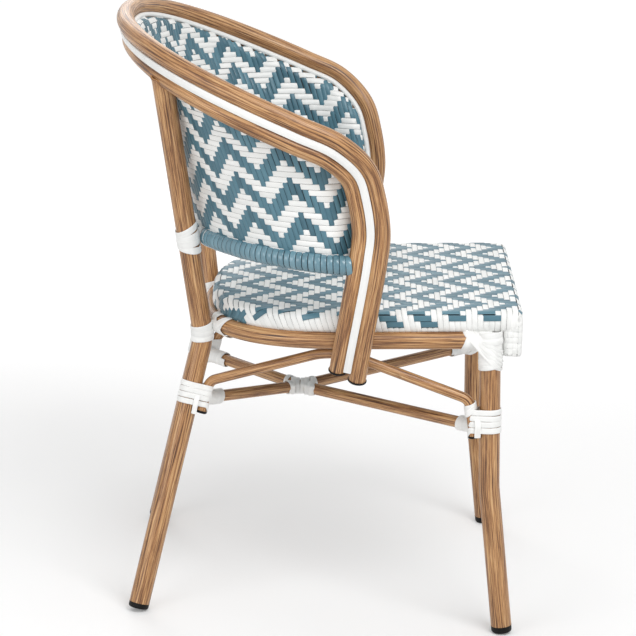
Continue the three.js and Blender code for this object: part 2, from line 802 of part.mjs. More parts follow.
function addStretchers() {
  const ends = Object.fromEntries(stretcherEnds().map(([name, point, leg]) => [name, { point, leg }]));
  const through = [ends.rear_left.point, crossingPoint, ends.front_right.point];
  const clearLeg = (name) => clearTube(ends[name].leg, legDiameter);
  addPart(
    'stretcher_through',
    cut(roundTube(through, stretcherDiameter), [clearLeg('rear_left'), clearLeg('front_right')]),
    woodFinish,
  );
  [['rear', 'rear_right'], ['front', 'front_left']].forEach(([label, end]) => {
    const half = roundTube([ends[end].point, crossingPoint], stretcherDiameter);
    const butted = cut(half, [clearLeg(end), clearTube(through, stretcherDiameter)]);
    addPart(`stretcher_half_${label}`, butted, woodFinish);
  });
  const run = crossingPoint.clone().sub(frontLegAxis.centre);
  addCentreLashing('centre_lashing', crossingPoint, Math.atan(Math.abs(run.y / run.x)));
  const sleeveStart = (legRadius + seatingGap + cordThickness) * Math.SQRT2;
  Object.entries(ends).forEach(([name, { point }]) => {
    const direction = towards(point, crossingPoint);
    const from = along(point, direction, sleeveStart);
    const to = along(from, direction, (sleeveLoops + 1) * cordPitch);
    addHelix(`stretcher_sleeve_${name}`, [from, to], stretcherRadius, {
      loops: sleeveLoops,
      gap: cordGap,
      finish: whiteCord,
    });
  });
}

// The brace stands beside each leg, turned just clear of the stretcher
const legToBrace = legRadius + braceRadius + seatingGap;
const stretcherToBrace = stretcherRadius + braceRadius + 2 * seatingGap;
const clearOfStretcher = Math.asin(stretcherToBrace / legToBrace) * braceClearShare;

function asideOf(leg, turn) {
  const inward = crossingPoint.clone().sub(leg.centre).setZ(0).normalize();
  return across(inward.applyAxisAngle(up, turn * clearOfStretcher), leg.direction);
}

const rearAside = asideOf(rearLegAxis, 1);
const frontAside = asideOf(frontLegAxis, -1);
const besideRear = (height) => along(axisAt(rearLegPath, height).centre, rearAside, legToBrace);
const besideFront = (height) => along(axisAt(frontLegPath, height).centre, frontAside, legToBrace);
const crownDrop = seatTubeRadius + braceRadius + seatingGap;
const underSeatRail = (y) => vec(braceCrownX, y, seatHeightAt(y) - crownDrop);

function endPlug(name, point, direction, radius) {
  const profile = [
    [0, 0],
    [radius, 0],
    [radius, plugThickness - plugEdge],
    [radius - plugEdge, plugThickness],
    [0, plugThickness],
  ].map(([r, h]) => new THREE.Vector2(r, h));
  const plug = addPart(name, new THREE.LatheGeometry(profile, plugSides), blackPlastic);
  plug.position.copy(along(point, direction, seatingGap));
  plug.quaternion.setFromUnitVectors(vec(0, 1, 0), direction);
}

function addBraces() {
  const path = bentPath([
    besideRear(braceEndHeight),
    besideRear(braceTurnHeight),
    underSeatRail(braceCrownRearY),
    underSeatRail(braceCrownFrontY),
    besideFront(braceTurnHeight),
    besideFront(braceEndHeight),
  ], [braceTurnRadius, braceCrownRadius, braceCrownRadius, braceTurnRadius]);
  sides.forEach(([sideName, side]) => {
    const points = path.map((p) => flip(p, side));
    addPart(`side_brace_${sideName}`, roundTube(points, braceDiameter, slimSides), woodFinish);
    [['rear', points], ['front', points.slice().reverse()]].forEach(([end, [tip, next]]) => {
      endPlug(`brace_plug_${end}_${sideName}`, tip, towards(next, tip), braceRadius);
    });
  });
}

function addArmFittings() {
  const railPoint = vec(seatFrameHalfWidth, armAtSeat.y, seatHeightAt(armAtSeat.y));
  const nearArm = rightHalf(innerRailPoints).filter((p) => p.distanceTo(armAtSeat) < jointLength);
  const seatRail = seatRailCurve.getSpacedPoints(2 * seatRailSteps);
  const nearRail = seatRail.filter((p) => p.distanceTo(railPoint) < jointLength);
  sides.forEach(([sideName, side]) => {
    const ends = [flip(railPoint, side), flip(armAtSeat, side)];
    const tools = [
      clearTube(nearArm.map((p) => flip(p, side)), innerRailDiameter, 2 * tubeSides),
      clearTube(nearRail.map((p) => flip(p, side)), seatTubeDiameter, 2 * tubeSides),
    ];
    addPart(`arm_spacer_${sideName}`, cut(roundTube(ends, spacerDiameter), tools), plainMetal);
  });
  const innerStations = shortened(bandStations, innerRailShortening);
  [['left', 0, -1], ['right', railSteps, 1]].forEach(([sideName, index, facing]) => {
    const outward = bandStations[index].direction.clone().multiplyScalar(facing);
    endPlug(`arm_plug_outer_${sideName}`, railPoints[index], outward, outerRailRadius);
    const innerEnd = along(innerStations[index].point, innerStations[index].across, railSpacing);
    endPlug(`arm_plug_inner_${sideName}`, innerEnd, outward, innerRailRadius);
  });
}

// Back: the wrapped lower rail and the woven panel, which runs from it to the inside of the rails
function addLowerRail() {
  const saddles = sides.map(([, side]) => {
    const near = rightHalf(innerRailPoints).filter((p) => p.distanceTo(armTubeAtLowerRail) < jointLength);
    return clearTube(near.map((p) => flip(p, side)), innerRailDiameter);
  });
  const rail = curvedTube(lowerRailCurve, lowerRailDiameter, lowerRailSteps, slimSides);
  addPart('back_lower_rail', cut(rail, saddles), woodFinish);
  addHelix('back_rail_wrap', lowerRailCurve.getSpacedPoints(lowerRailSteps), lowerRailReach, {
    loops: wrapLoops,
    gap: wrapGap,
    finish: tealCord,
  });
}

function bandPlace(place, acrossBand, out) {
  const index = Math.min(Math.floor(place), bandStations.length - 2);
  const [a, b] = [bandStations[index], bandStations[index + 1]];
  const pick = (key) => a[key].clone().lerp(b[key], place - index);
  return along(along(pick('point'), pick('across').normalize(), acrossBand), pick('out').normalize(), out);
}

// One half of the panel's middle surface, as columns from the back's centre to the arm
function panelHalf() {
  const half = panelThickness / 2;
  const inside = -(Math.max(innerRailRadius, legRadius) + seatingGap + half);
  const lapInside = -(rise(innerRailRadius + seatingGap, panelLap) + half) * chordSpread(tubeSides);
  const halfStations = rightHalf(railPoints);
  const lashingReach = (wrapRadius + seatingGap + 2 * cordEase) * chordSpread(2 * arcSteps);
  const lift = lashingReach + cordThickness + seatingGap;
  const columns = [];
  const count = panelColumns / 2;
  for (let i = 0; i <= count; i += 1) {
    const angle = (Math.PI / 2) * panelTurnShare * (i / count);
    const bottom = lowerRailCurve.getPoint(0.5 + angle / Math.PI);
    const backShare = Math.cos(angle);
    const topY = bottom.y + (railBackY - lowerRailCurve.backY) * backShare;
    const place = i === 0 ? railSteps / 2 : railSteps / 2 + crossing(halfStations, (p) => p.y, topY);
    const top = bandPlace(place, railSpacing, inside);
    const foot = along(bottom, towards(bottom, bandPlace(place, railSpacing, 0)), lift);
    const column = [bandPlace(place, railSpacing - panelLap, lapInside), top];
    for (let row = 1; row <= panelRows; row += 1) column.push(top.clone().lerp(foot, row / panelRows));
    columns.push({ column, place });
  }
  const lastPlace = columns[count].place;
  const footHeight = lowerRailEndHeight + lift;
  const armPlace = railSteps / 2 + crossing(rightHalf(innerRailPoints), heightOf, footHeight);
  const placeDown = (share) => lastPlace + (armPlace - lastPlace) * share;
  const edge = [
    bandPlace(placeDown(panelLapShare), railSpacing - panelLap, lapInside),
    bandPlace(placeDown(panelCornerShare), railSpacing, inside),
  ];
  for (let row = 1; row <= panelRows; row += 1) {
    const place = placeDown(panelCornerShare + (1 - panelCornerShare) * (row / panelRows));
    const turn = (Math.PI / 4) * (row / panelRows);
    edge.push(bandPlace(place, railSpacing - inside * Math.sin(turn), inside * Math.cos(turn)));
  }
  return [...columns.map(({ column }) => column), edge];
}

function addPanel() {
  const right = panelHalf();
  const columns = [...right.slice(1).reverse().map((column) => column.map(mirrored)), ...right];
  const faces = [1, -1].map((face) => columns.map((column, i) => column.map((p, j) => {
    const before = columns[Math.max(i - 1, 0)][j];
    const after = columns[Math.min(i + 1, columns.length - 1)][j];
    const above = column[Math.max(j - 1, 0)];
    const below = column[Math.min(j + 1, column.length - 1)];
    const normal = after.clone().sub(before).cross(below.clone().sub(above)).normalize();
    return along(p, normal, (face * panelThickness) / 2);
  })));
  const [outer, inner] = faces;
  const rings = columns.map((_, i) => [...inner[i], ...outer[i].slice().reverse()]);
  addPart('back_panel', skinned(rings), tealCord);
}

// Seat
const seatRest = (seatTubeRadius + seatingGap) * chordSpread(2 * arcSteps) + cordThickness + seatingGap;
const seatPlan = (() => {
  const points = [];
  const rearPoints = 22;
  for (let i = 0; i <= rearPoints; i += 1) {
    const angle = Math.PI * (i / rearPoints);
    const wide = rounded(Math.cos(angle), seatRoundnessShare) * Math.sign(Math.cos(angle));
    const back = rounded(Math.sin(angle), seatRoundnessShare);
    points.push([seatPanelHalfWidth * wide, seatCurveY + (seatPanelBackY - seatCurveY) * back]);
  }
  const cornerPoints = 3;
  const corner = seatCornerRadius;
  [[-1, Math.PI], [1, 1.5 * Math.PI]].forEach(([side, start]) => {
    for (let i = 0; i <= cornerPoints; i += 1) {
      const angle = start + (Math.PI / 2) * (i / cornerPoints);
      points.push([
        side * (seatPanelHalfWidth - corner) + corner * Math.cos(angle),
        apronFrontY + corner + corner * Math.sin(angle),
      ]);
    }
  });
  return points;
})();

function seatRing(inset, height) {
  const middleY = (seatPanelBackY + apronFrontY) / 2;
  const halfDepth = (seatPanelBackY - apronFrontY) / 2;
  return seatPlan.map(([x, y]) => {
    const planY = middleY + (y - middleY) * (1 - inset / halfDepth);
    return vec(x * (1 - inset / seatPanelHalfWidth), planY, seatHeightAt(planY) + seatRest + height);
  });
}

function addSeat() {
  const edge = seatRollEdge;
  const top = seatPanelHeight;
  const soft = edge * (1 - Math.SQRT1_2);
  const inner = seatRollWidth;
  addPart('seat_panel', skinned([
    seatRing(inner, top - seatSkin),
    seatRing(inner, soft),
    seatRing(inner - soft, 0),
    seatRing(edge, 0),
    seatRing(soft, soft),
    seatRing(0, edge),
    seatRing(0, top - edge),
    seatRing(soft, top - soft),
    seatRing(edge, top),
    seatRing(inner, top + seatCrown / 2),
    seatRing(seatPanelHalfWidth / 2, top + seatCrown),
  ]), whiteCord);
  const backY = apronFrontY + apronDepth;
  const topAt = (y) => seatHeightAt(y) + seatRest - seatingGap;
  const low = topAt(apronFrontY) + seatPanelHeight - apronHeight;
  const r = apronEdgeRadius;
  const shape = new THREE.Shape();
  shape.moveTo(topAt(apronFrontY), apronFrontY);
  shape.lineTo(topAt(backY), backY);
  shape.lineTo(low + r, backY);
  shape.absarc(low + r, backY - r, r, Math.PI / 2, Math.PI, false);
  shape.lineTo(low, apronFrontY + r);
  shape.absarc(low + r, apronFrontY + r, r, Math.PI, 1.5 * Math.PI, false);
  shape.closePath();
  const apron = addPart('front_apron', new THREE.ExtrudeGeometry(shape, {
    depth: 2 * apronHalfWidth,
    bevelEnabled: false,
    curveSegments: 3,
  }), whiteCord);
  apron.rotation.y = -Math.PI / 2;
  apron.position.x = apronHalfWidth;
}

function addLashings() {
  sides.forEach(([sideName, side]) => {
    const flipped = (v) => flip(v, side);
    const stretcherAside = (aside, leg) => {
      const normal = flipped(leg.direction).cross(flipped(aside));
      return Math.sign(crossingPoint.clone().sub(flipped(leg.centre)).dot(normal));
    };
    [['rear', rearLegAxis, rearAside], ['front', frontLegAxis, frontAside]].forEach(([end, leg, aside]) => {
      addLegLashing(`leg_lashing_${end}_${sideName}`, {
        centre: flipped(leg.centre),
        direction: flipped(leg.direction),
        aside: flipped(aside),
        stretcherSide: stretcherAside(aside, leg),
      });
    });
    [
      ['seat_lashing', seatRailCurve, seatTubeRadius, [1, -1, 1].slice(0, seatLashingLoops), cordPitch],
      ['back_lashing', lowerRailCurve, wrapRadius, Array(backLashingLoops).fill(1), backLashingPitch],
    ].forEach(([name, curve, railRadius, kinds, pitch]) => {
      const { leg, rail } = contactWith(curve, rearLegPath);
      const half = curve.getSpacedPoints(2 * contactSamples).slice(contactSamples);
      const contact = crossing(half, (p) => p.x, rail.x);
      const spacing = half[0].distanceTo(half[1]);
      addCrossLashing(`${name}_${sideName}`, {
        legPath: rearLegPath.map(flipped),
        leg: { centre: flipped(leg.centre), direction: flipped(leg.direction) },
        railAt: (distance) => flipped(pointAt(half, contact + distance / spacing)),
        railRadius,
        kinds,
        pitch,
      });
    });
    addCornerLashing(`corner_lashing_${sideName}`, side);
  });
}

addRails();
addTrims();
addLegs();
addSeatFrame();
addStretchers();
addBraces();
addArmFittings();
addLowerRail();
addPanel();
addSeat();
addLashings();

// The origin is on the floor, under the middle of the chair
const box = new THREE.Box3().setFromObject(chair);
chair.position.y = -(box.min.y + box.max.y) / 2;

export default chair;
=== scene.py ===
"""The looks of a rattan bistro armchair: smooth tubes in a wood-grain finish, a back and a seat woven from
flat strands, and bound lashings.

Lengths are in millimetres, as in the CAD source (+Z up, front towards -Y), until a mesh is made in metres.
"""
import math

import bpy
import numpy as np
from mathutils import Matrix, kdtree, Vector


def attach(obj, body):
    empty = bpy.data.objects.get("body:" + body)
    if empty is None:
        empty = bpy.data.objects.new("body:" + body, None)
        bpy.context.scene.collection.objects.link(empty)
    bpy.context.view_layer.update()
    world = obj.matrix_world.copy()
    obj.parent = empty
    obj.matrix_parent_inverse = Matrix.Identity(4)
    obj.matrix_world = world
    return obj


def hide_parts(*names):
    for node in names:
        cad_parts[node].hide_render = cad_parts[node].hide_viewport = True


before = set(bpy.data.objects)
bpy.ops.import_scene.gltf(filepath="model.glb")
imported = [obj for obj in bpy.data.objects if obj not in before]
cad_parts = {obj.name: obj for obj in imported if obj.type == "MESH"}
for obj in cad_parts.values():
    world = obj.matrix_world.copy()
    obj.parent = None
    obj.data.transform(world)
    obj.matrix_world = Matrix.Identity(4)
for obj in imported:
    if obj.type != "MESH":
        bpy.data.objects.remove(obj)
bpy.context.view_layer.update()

MM = 0.001
# The CAD source centres the chair on the floor by this move
CENTRING = np.array([0, -4.1117, 0])
X_AXIS, Y_AXIS, UP = np.eye(3)
SIDES = (("left", -1), ("right", 1))
rng = np.random.default_rng(7)

# ---- Sizes ----
# The CAD source's, but for the places that were read more closely from the photograph after its last pack:
# the seat's height and crown, the braces, the crossing, the rear legs' tops and the foot caps
GAP = 0.3  # between pieces that touch
LEG_RADIUS = 14.0
OUTER_RAIL_RADIUS = 11.75
INNER_RAIL_RADIUS = 11.25
SEAT_TUBE_RADIUS = 12.0
STRETCHER_RADIUS = 8.0
BRACE_RADIUS = 7.0
LOWER_RAIL_RADIUS = 10.5
RAIL_SPACING = 28.0
RAIL_HALF_WIDTH, RAIL_BACK_Y, RAIL_WIDE_Y = 272.5, 276.0, 30.0
RAIL_WIDE_Z, RAIL_BACK_Z = 699.0, 798.0
ARM_FORWARD_Y, ARM_END_Z = -80.0, 349.0
BACK_ROUNDNESS = 2.35
# The arm's points, from the rail's widest place to its end, as shares of its width, its way forward and down
ARM_SHARES = ((0.984, 0.46, 0.062), (0.921, 0.8, 0.165), (0.894, 0.93, 0.28), (0.876, 1, 0.42),
              (0.878, 0.97, 0.54), (0.86, 0.895, 0.72), (0.835, 0.83, 0.865), (0.793, 0.778, 1))
# The band turns its inner tube towards this point, whose x is a share of the rail's own
BAND_AIM = np.array([0.92, 180.0, 440.0])
GROOVE_MIDDLE = 14.25
STRIP_WIDTH, STRIP_LOW, STRIP_HIGH = 10.5, 7.85, 10.45
PIPING_RADIUS, PIPING_DEPTH = 3.8, 6.94
INNER_SHORTENING, TRIM_SHORTENING = 8.0, 12.0
SEAT_HALF_WIDTH = 199.48
SEAT_CURVE_Y, SEAT_BACK_Y, SEAT_FRONT_Y = -60.0, 150.08, -230.5
SEAT_ROUNDNESS = 2.55
PANEL_HALF_WIDTH = 205.48
PANEL_BACK_Y, PANEL_FRONT_Y = 147.0, -272.5
PANEL_REST, PANEL_HEIGHT, PANEL_CROWN = 11.9, 26.3, 1.0
APRON_DEPTH, APRON_HEIGHT = 22.5, 62.0
LOWER_RAIL = {"half": 236.97, "front": -36.93, "back": 189.79, "low": 509.0, "high": 519.0}
REAR_LEG_TOP_Y = 213.5
REAR_LEG = ((192, 234, 0), (107, 156, 371))
FRONT_LEG = ((225.48, -266, 0), (218.48, -238.5, 207), (203.48, -230.5, 417.22))
REAR_LEG_BEND, FRONT_LEG_BEND = 48.0, 160.0
CROSSING = np.array([0, 21.5, 273.7])
BRACE = ((132.98, 155.47, 272), (123.40, 145.46, 312.61), (192.48, -24.96, 382.66),
         (213.60, -206.56, 325.59), (216.76, -214.8, 276.5))
BRACE_BENDS = (16.0, 100.0, 16.0)
ARM_AT_SEAT = np.array([224.23, -33.39, 397.34])
STRETCHER_HEIGHT = 285.0
SEAT_FRAME_HEIGHT, SEAT_SLOPE = 396.0, 0.04
CAP_TOP = 11.2
# How far a piece's shade shifts its grain along it
SHADE_SHIFT = 977.0
WEAVE_CREASE, LASHING_CREASE, PLUG_CREASE = 65, 60, 50


def seat_height(y):
    return SEAT_FRAME_HEIGHT - SEAT_SLOPE * y


# ---- Curves ----
def unit(v):
    return v / np.linalg.norm(v, axis=-1, keepdims=True)


def rounded(v, roundness):
    return np.abs(v) ** (2 / roundness)


def lengths(points):
    return np.concatenate([[0], np.cumsum(np.linalg.norm(np.diff(points, axis=0), axis=1))])


def between(values, at, places):
    """Rows of values that stand at some places, read at other places."""
    return np.stack([np.interp(places, at, column) for column in values.T], -1)


def picked(values, places):
    """Rows of values at fractional row numbers."""
    return between(values, np.arange(len(values)), places)


def resampled(points, count):
    at = lengths(points)
    return between(points, at, np.linspace(0, at[-1], count))


def spaced(points, step):
    return resampled(points, max(int(lengths(points)[-1] / step), 2))


def trimmed(points, start, end):
    """The curve without its first and last few millimetres."""
    at = lengths(points)
    return between(points, at, np.linspace(start, at[-1] - end, len(points)))


def tangents(points):
    ahead = np.empty_like(points)
    ahead[1:-1] = points[2:] - points[:-2]
    ahead[0], ahead[-1] = points[1] - points[0], points[-1] - points[-2]
    return unit(ahead)


def loop_tangents(points):
    return unit(np.roll(points, -1, 0) - np.roll(points, 1, 0))


def squared(directions, ahead):
    """Directions turned square to a curve's."""
    return unit(directions - ahead * (directions * ahead).sum(1)[:, None])


def beside_plan(ahead):
    """The way out of a plan outline that runs counter-clockwise."""
    return np.stack([ahead[..., 1], -ahead[..., 0]], -1)


def turned(angles, first, second):
    """Directions at some angles from the first towards the second."""
    return np.outer(np.cos(angles), first) + np.outer(np.sin(angles), second)


def runs(valid):
    """The unbroken stretches of rows where a condition holds."""
    parts = np.split(np.arange(len(valid)), np.nonzero(np.diff(valid.astype(int)))[0] + 1)
    return [part for part in parts if valid[part[0]]]


def tree_of(points):
    tree = kdtree.KDTree(len(points))
    for index, point in enumerate(points):
        tree.insert(point, index)
    tree.balance()
    return tree


def catmull(points, per_span=24):
    """The centripetal curve through points, as three.js makes it."""
    p = np.vstack([2 * points[0] - points[1], points, 2 * points[-1] - points[-2]])
    out = []
    for i in range(len(points) - 1):
        p0, p1, p2, p3 = p[i:i + 4]
        d0, d1, d2 = (np.linalg.norm(b - a) ** 0.5 for a, b in ((p0, p1), (p1, p2), (p2, p3)))
        t1 = ((p1 - p0) / d0 - (p2 - p0) / (d0 + d1) + (p2 - p1) / d1) * d1
        t2 = ((p2 - p1) / d1 - (p3 - p1) / (d1 + d2) + (p3 - p2) / d2) * d1
        t = np.linspace(0, 1, per_span, endpoint=False)[:, None]
        square, cube = -3 * p1 + 3 * p2 - 2 * t1 - t2, 2 * p1 - 2 * p2 + t1 + t2
        out.append(p1 + t1 * t + square * t * t + cube * t ** 3)
    return np.vstack([*out, points[-1:]])


def bent(corners, radii, steps=14):
    """Straight runs whose corners are rounded to their radii."""
    corners = np.array(corners, float)
    points = [corners[0]]
    for i, radius in enumerate(radii, 1):
        back, ahead = unit(corners[i - 1] - corners[i]), unit(corners[i + 1] - corners[i])
        half = math.acos(np.clip(back @ ahead, -1, 1)) / 2
        centre = corners[i] + unit(back + ahead) * radius / math.sin(half)
        start = corners[i] + back * radius / math.tan(half) - centre
        end = corners[i] + ahead * radius / math.tan(half) - centre
        turn = math.acos(np.clip(unit(start) @ unit(end), -1, 1))
        for share in np.linspace(0, 1, steps):
            mixed = math.sin((1 - share) * turn) * start + math.sin(share * turn) * end
            points.append(centre + mixed / math.sin(turn))
    points.append(corners[-1])
    return spaced(np.array(points), 4)


def flipped(points, side):
    return np.asarray(points, float) * [side, 1, 1]


def half_rail():
    angles = math.pi / 2 * np.arange(9) / 8
    back = rounded(np.cos(angles), BACK_ROUNDNESS)
    rear = np.stack([
        RAIL_HALF_WIDTH * rounded(np.sin(angles), BACK_ROUNDNESS),
        RAIL_WIDE_Y + (RAIL_BACK_Y - RAIL_WIDE_Y) * back,
        RAIL_WIDE_Z + (RAIL_BACK_Z - RAIL_WIDE_Z) * back,
    ], 1)
    wide, forward, down = np.array(ARM_SHARES).T
    arm = np.stack([
        RAIL_HALF_WIDTH * wide,
        RAIL_WIDE_Y + (ARM_FORWARD_Y - RAIL_WIDE_Y) * forward,
        RAIL_WIDE_Z + (ARM_END_Z - RAIL_WIDE_Z) * down,
    ], 1)
    return np.vstack([rear, arm])


right_half = half_rail()
rail = resampled(catmull(np.vstack([flipped(right_half[:0:-1], -1), right_half])), 401)
rail_ahead = tangents(rail)
aim = rail * [BAND_AIM[0], 0, 0] + [0, BAND_AIM[1], BAND_AIM[2]] - rail
rail_across = squared(aim, rail_ahead)
rail_out = np.cross(rail_ahead, rail_across)
inner_rail = rail + rail_across * RAIL_SPACING
MIDDLE = len(rail) // 2


def lower_rail(angles):
    back = np.cos(angles)
    return np.stack([
        LOWER_RAIL["half"] * np.sin(angles),
        LOWER_RAIL["front"] + (LOWER_RAIL["back"] - LOWER_RAIL["front"]) * back,
        LOWER_RAIL["low"] + (LOWER_RAIL["high"] - LOWER_RAIL["low"]) * back,
    ], -1)


def seat_rail_curve():
    straight = np.array([[-1, SEAT_FRONT_Y], [-1, SEAT_CURVE_Y]])
    angles = np.linspace(-math.pi / 2, math.pi / 2, 160)
    x = np.sign(angles) * rounded(np.sin(angles), SEAT_ROUNDNESS)
    y = SEAT_CURVE_Y + (SEAT_BACK_Y - SEAT_CURVE_Y) * rounded(np.cos(angles), SEAT_ROUNDNESS)
    plan = np.vstack([straight[:1], np.stack([x, y], 1), straight[:1] * [-1, 1]])
    points = np.stack([plan[:, 0] * SEAT_HALF_WIDTH, plan[:, 1], seat_height(plan[:, 1])], 1)
    return spaced(points, 4)


right_back = inner_rail[MIDDLE:MIDDLE + 90]
leg_top = right_back[int(np.argmin(np.abs(right_back[:, 1] - REAR_LEG_TOP_Y)))]
rear_leg = bent((*REAR_LEG, leg_top), [REAR_LEG_BEND])
front_leg = bent(FRONT_LEG, [FRONT_LEG_BEND])
brace = bent(BRACE, BRACE_BENDS)
seat_rail = seat_rail_curve()
wrapped_rail = resampled(lower_rail(np.linspace(-math.pi / 2, math.pi / 2, 400)), 400)


def axis_at(path, height):
    """A tube's centre and direction at a height."""
    i = int(np.argmax(path[:, 2] >= height))
    share = (height - path[i - 1, 2]) / (path[i, 2] - path[i - 1, 2])
    return path[i - 1] + (path[i] - path[i - 1]) * share, unit(path[i] - path[i - 1])


def stretcher_end(path, side):
    """Where a stretcher's axis meets a leg's."""
    return axis_at(flipped(path, side), STRETCHER_HEIGHT)[0]


# ---- Meshes ----
def ring_quads(rings, count, closed=False):
    """The faces between rings of as many points each, one after the other."""
    i, j = np.meshgrid(np.arange(rings if closed else rings - 1), np.arange(count), indexing="ij")
    after, beside = (i + 1) % rings * count, (j + 1) % count
    return np.stack([i * count + j, i * count + beside, after + beside, after + j], 2).reshape(-1, 4)


def end_faces(rings, count):
    ring = np.arange(count)
    return [ring[None, ::-1], (ring + (rings - 1) * count)[None]]


class Piece:
    """The vertices and faces of one piece, gathered before its mesh is made.

    Each vertex keeps its place in its tube or strand (across, out, along, in metres) and a shade."""

    def __init__(self):
        self.points, self.faces, self.grain, self.shade = [], [], [], []
        self.count = 0

    def add(self, points, faces, grain, shade):
        self.points.append(points)
        self.faces.extend(f + self.count for f in faces)
        self.grain.append(grain)
        self.shade.append(np.full(len(points), shade))
        self.count += len(points)

    def sweep(self, points, across, out, ring, shade=0.5, closed=False):
        """Sweeps a ring of (across, out) pairs, one for all points or one for each, along the points."""
        n, m = len(points), ring.shape[-2]
        rings = np.broadcast_to(ring, (n, m, 2))
        body = points[:, None] + across[:, None] * rings[..., :1] + out[:, None] * rings[..., 1:]
        travelled = lengths(points) + SHADE_SHIFT * shade
        grain = np.concatenate([rings, np.broadcast_to(travelled[:, None, None], (n, m, 1))], 2) * MM
        faces = [ring_quads(n, m, closed)]
        if not closed:
            faces += end_faces(n, m)
        self.add(body.reshape(-1, 3), faces, grain.reshape(-1, 3), shade)

    def tube(self, points, radius, sides=32, shade=0.5, ends=0.0):
        """A round tube, whose ends are eased over a short way where ends is above 0."""
        across, out = turning_frames(points)
        radii = np.full(len(points), radius, float)
        if ends:
            points, radii, across, out = eased_ends(points, radii, across, out, ends)
        self.sweep(points, across, out, circle(sides)[None] * radii[:, None, None], shade)

    def strand(self, points, out, width, thickness, shade=0.5, closed=False):
        """A flat strand lying on its points, with its face turned out."""
        ahead = loop_tangents(points) if closed else tangents(points)
        out = squared(out, ahead)
        self.sweep(points, np.cross(out, ahead), out, strand_ring(width, thickness), shade, closed)

    def made(self, name, material, slot, node=None, crease=40):
        """Makes the mesh, which stands for the CAD node of its name where no other is given."""
        mesh = bpy.data.meshes.new(name)
        points = (np.vstack(self.points) + CENTRING) * MM
        totals = np.concatenate([np.full(len(f), f.shape[1]) for f in self.faces])
        corners = np.concatenate([f.ravel() for f in self.faces])
        mesh.vertices.add(len(points))
        mesh.vertices.foreach_set("co", points.astype(np.float32).ravel())
        mesh.loops.add(len(corners))
        mesh.loops.foreach_set("vertex_index", corners.astype(np.int32))
        mesh.polygons.add(len(totals))
        starts = np.concatenate([[0], np.cumsum(totals)[:-1]])
        mesh.polygons.foreach_set("loop_start", starts.astype(np.int32))
        mesh.polygons.foreach_set("use_smooth", np.ones(len(totals), bool))
        grain = mesh.attributes.new("grain", "FLOAT_VECTOR", "POINT")
        grain.data.foreach_set("vector", np.vstack(self.grain).astype(np.float32).ravel())
        shade = mesh.attributes.new("shade", "FLOAT", "POINT")
        shade.data.foreach_set("value", np.concatenate(self.shade).astype(np.float32))
        mesh.update(calc_edges=True)
        mesh.set_sharp_from_angle(angle=math.radians(crease))
        mesh.materials.append(material)
        piece = bpy.data.objects.new(name, mesh)
        bpy.context.scene.collection.objects.link(piece)
        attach(piece, "root")
        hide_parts(node or name)


def circle(sides):
    angles = 2 * math.pi * np.arange(sides) / sides
    return np.stack([np.cos(angles), np.sin(angles)], 1)


def crowned(right, crest):
    """A section: its right side from the foot up, a crest, and its left side, which mirrors the right."""
    right = np.array(right)
    left = right * [-1, 1]
    return np.vstack([left[:1], right, [[0, crest]], left[:0:-1]])


def strand_ring(width, thickness):
    """A flat strand's section: its inner face on 0, its edges rounded and its outer face slightly crowned."""
    half, edge = width / 2, 0.38 * thickness
    return crowned([[half - edge, 0], [half, edge], [half - 0.5 * edge, thickness - 0.5 * edge],
                    [half - 2.2 * edge, thickness]], 1.1 * thickness)


def turning_frames(points):
    """Frames that turn as little as possible from one point to the next."""
    ahead = tangents(points)
    last = UP if abs(ahead[0][2]) < math.sqrt(0.5) else X_AXIS
    out = np.empty_like(points)
    for i, direction in enumerate(ahead):
        last = unit(last - direction * (last @ direction))
        out[i] = last
    return np.cross(out, ahead), out


def eased_ends(points, radii, across, out, ease):
    """Adds rings that round off both ends of a tube."""
    ahead = tangents(points)
    turns = np.linspace(0, math.pi / 2, 4)[1:]
    for end, sense in ((0, -1), (-1, 1)):
        extra = np.array([points[end] + ahead[end] * sense * ease * math.sin(a) for a in turns])
        small = np.array([radii[end] - ease * (1 - math.cos(a)) for a in turns])
        added = [extra, small, *(np.repeat(f[end][None], len(turns), 0) for f in (across, out))]
        points, radii, across, out = (
            np.concatenate([kept, new] if end else [new[::-1], kept])
            for kept, new in zip((points, radii, across, out), added))
    return points, radii, across, out


# ---- Materials ----
def linear(red, green, blue):
    """A colour written as 0 to 255 sRGB."""
    shares = [c / 255 for c in (red, green, blue)]
    return [*(((c + 0.055) / 1.055) ** 2.4 if c > 0.04 else c / 12.92 for c in shares), 1]


class Tree:
    """A material's or the world's nodes, and short ways to add to them."""

    def __init__(self, owner, shader):
        owner.use_nodes = True
        self.nodes, self.links = owner.node_tree.nodes, owner.node_tree.links
        self.shader = self.nodes[shader]

    def set(self, **sockets):
        for socket, value in sockets.items():
            name = socket.replace("_", " ").title().replace("Ior", "IOR")
            self.shader.inputs[name].default_value = value

    def node(self, kind, **settings):
        made = self.nodes.new("ShaderNode" + kind)
        for key, value in settings.items():
            if hasattr(made, key):
                setattr(made, key, value)
            else:
                made.inputs[key.replace("_", " ").title()].default_value = value
        return made

    def link(self, source, target):
        self.links.new(source, target)

    def math(self, operation, *values):
        node = self.node("Math", operation=operation)
        for value, socket in zip(values, node.inputs):
            if isinstance(value, float):
                socket.default_value = value
            else:
                self.link(value, socket)
        return node.outputs[0]

    def seen(self):
        """1 where a camera, glossy or transmission ray meets it, and 0 elsewhere."""
        path = self.node("LightPath").outputs
        seen = self.math("MAXIMUM", path["Is Camera Ray"], path["Is Glossy Ray"])
        return self.math("MAXIMUM", seen, path["Is Transmission Ray"])


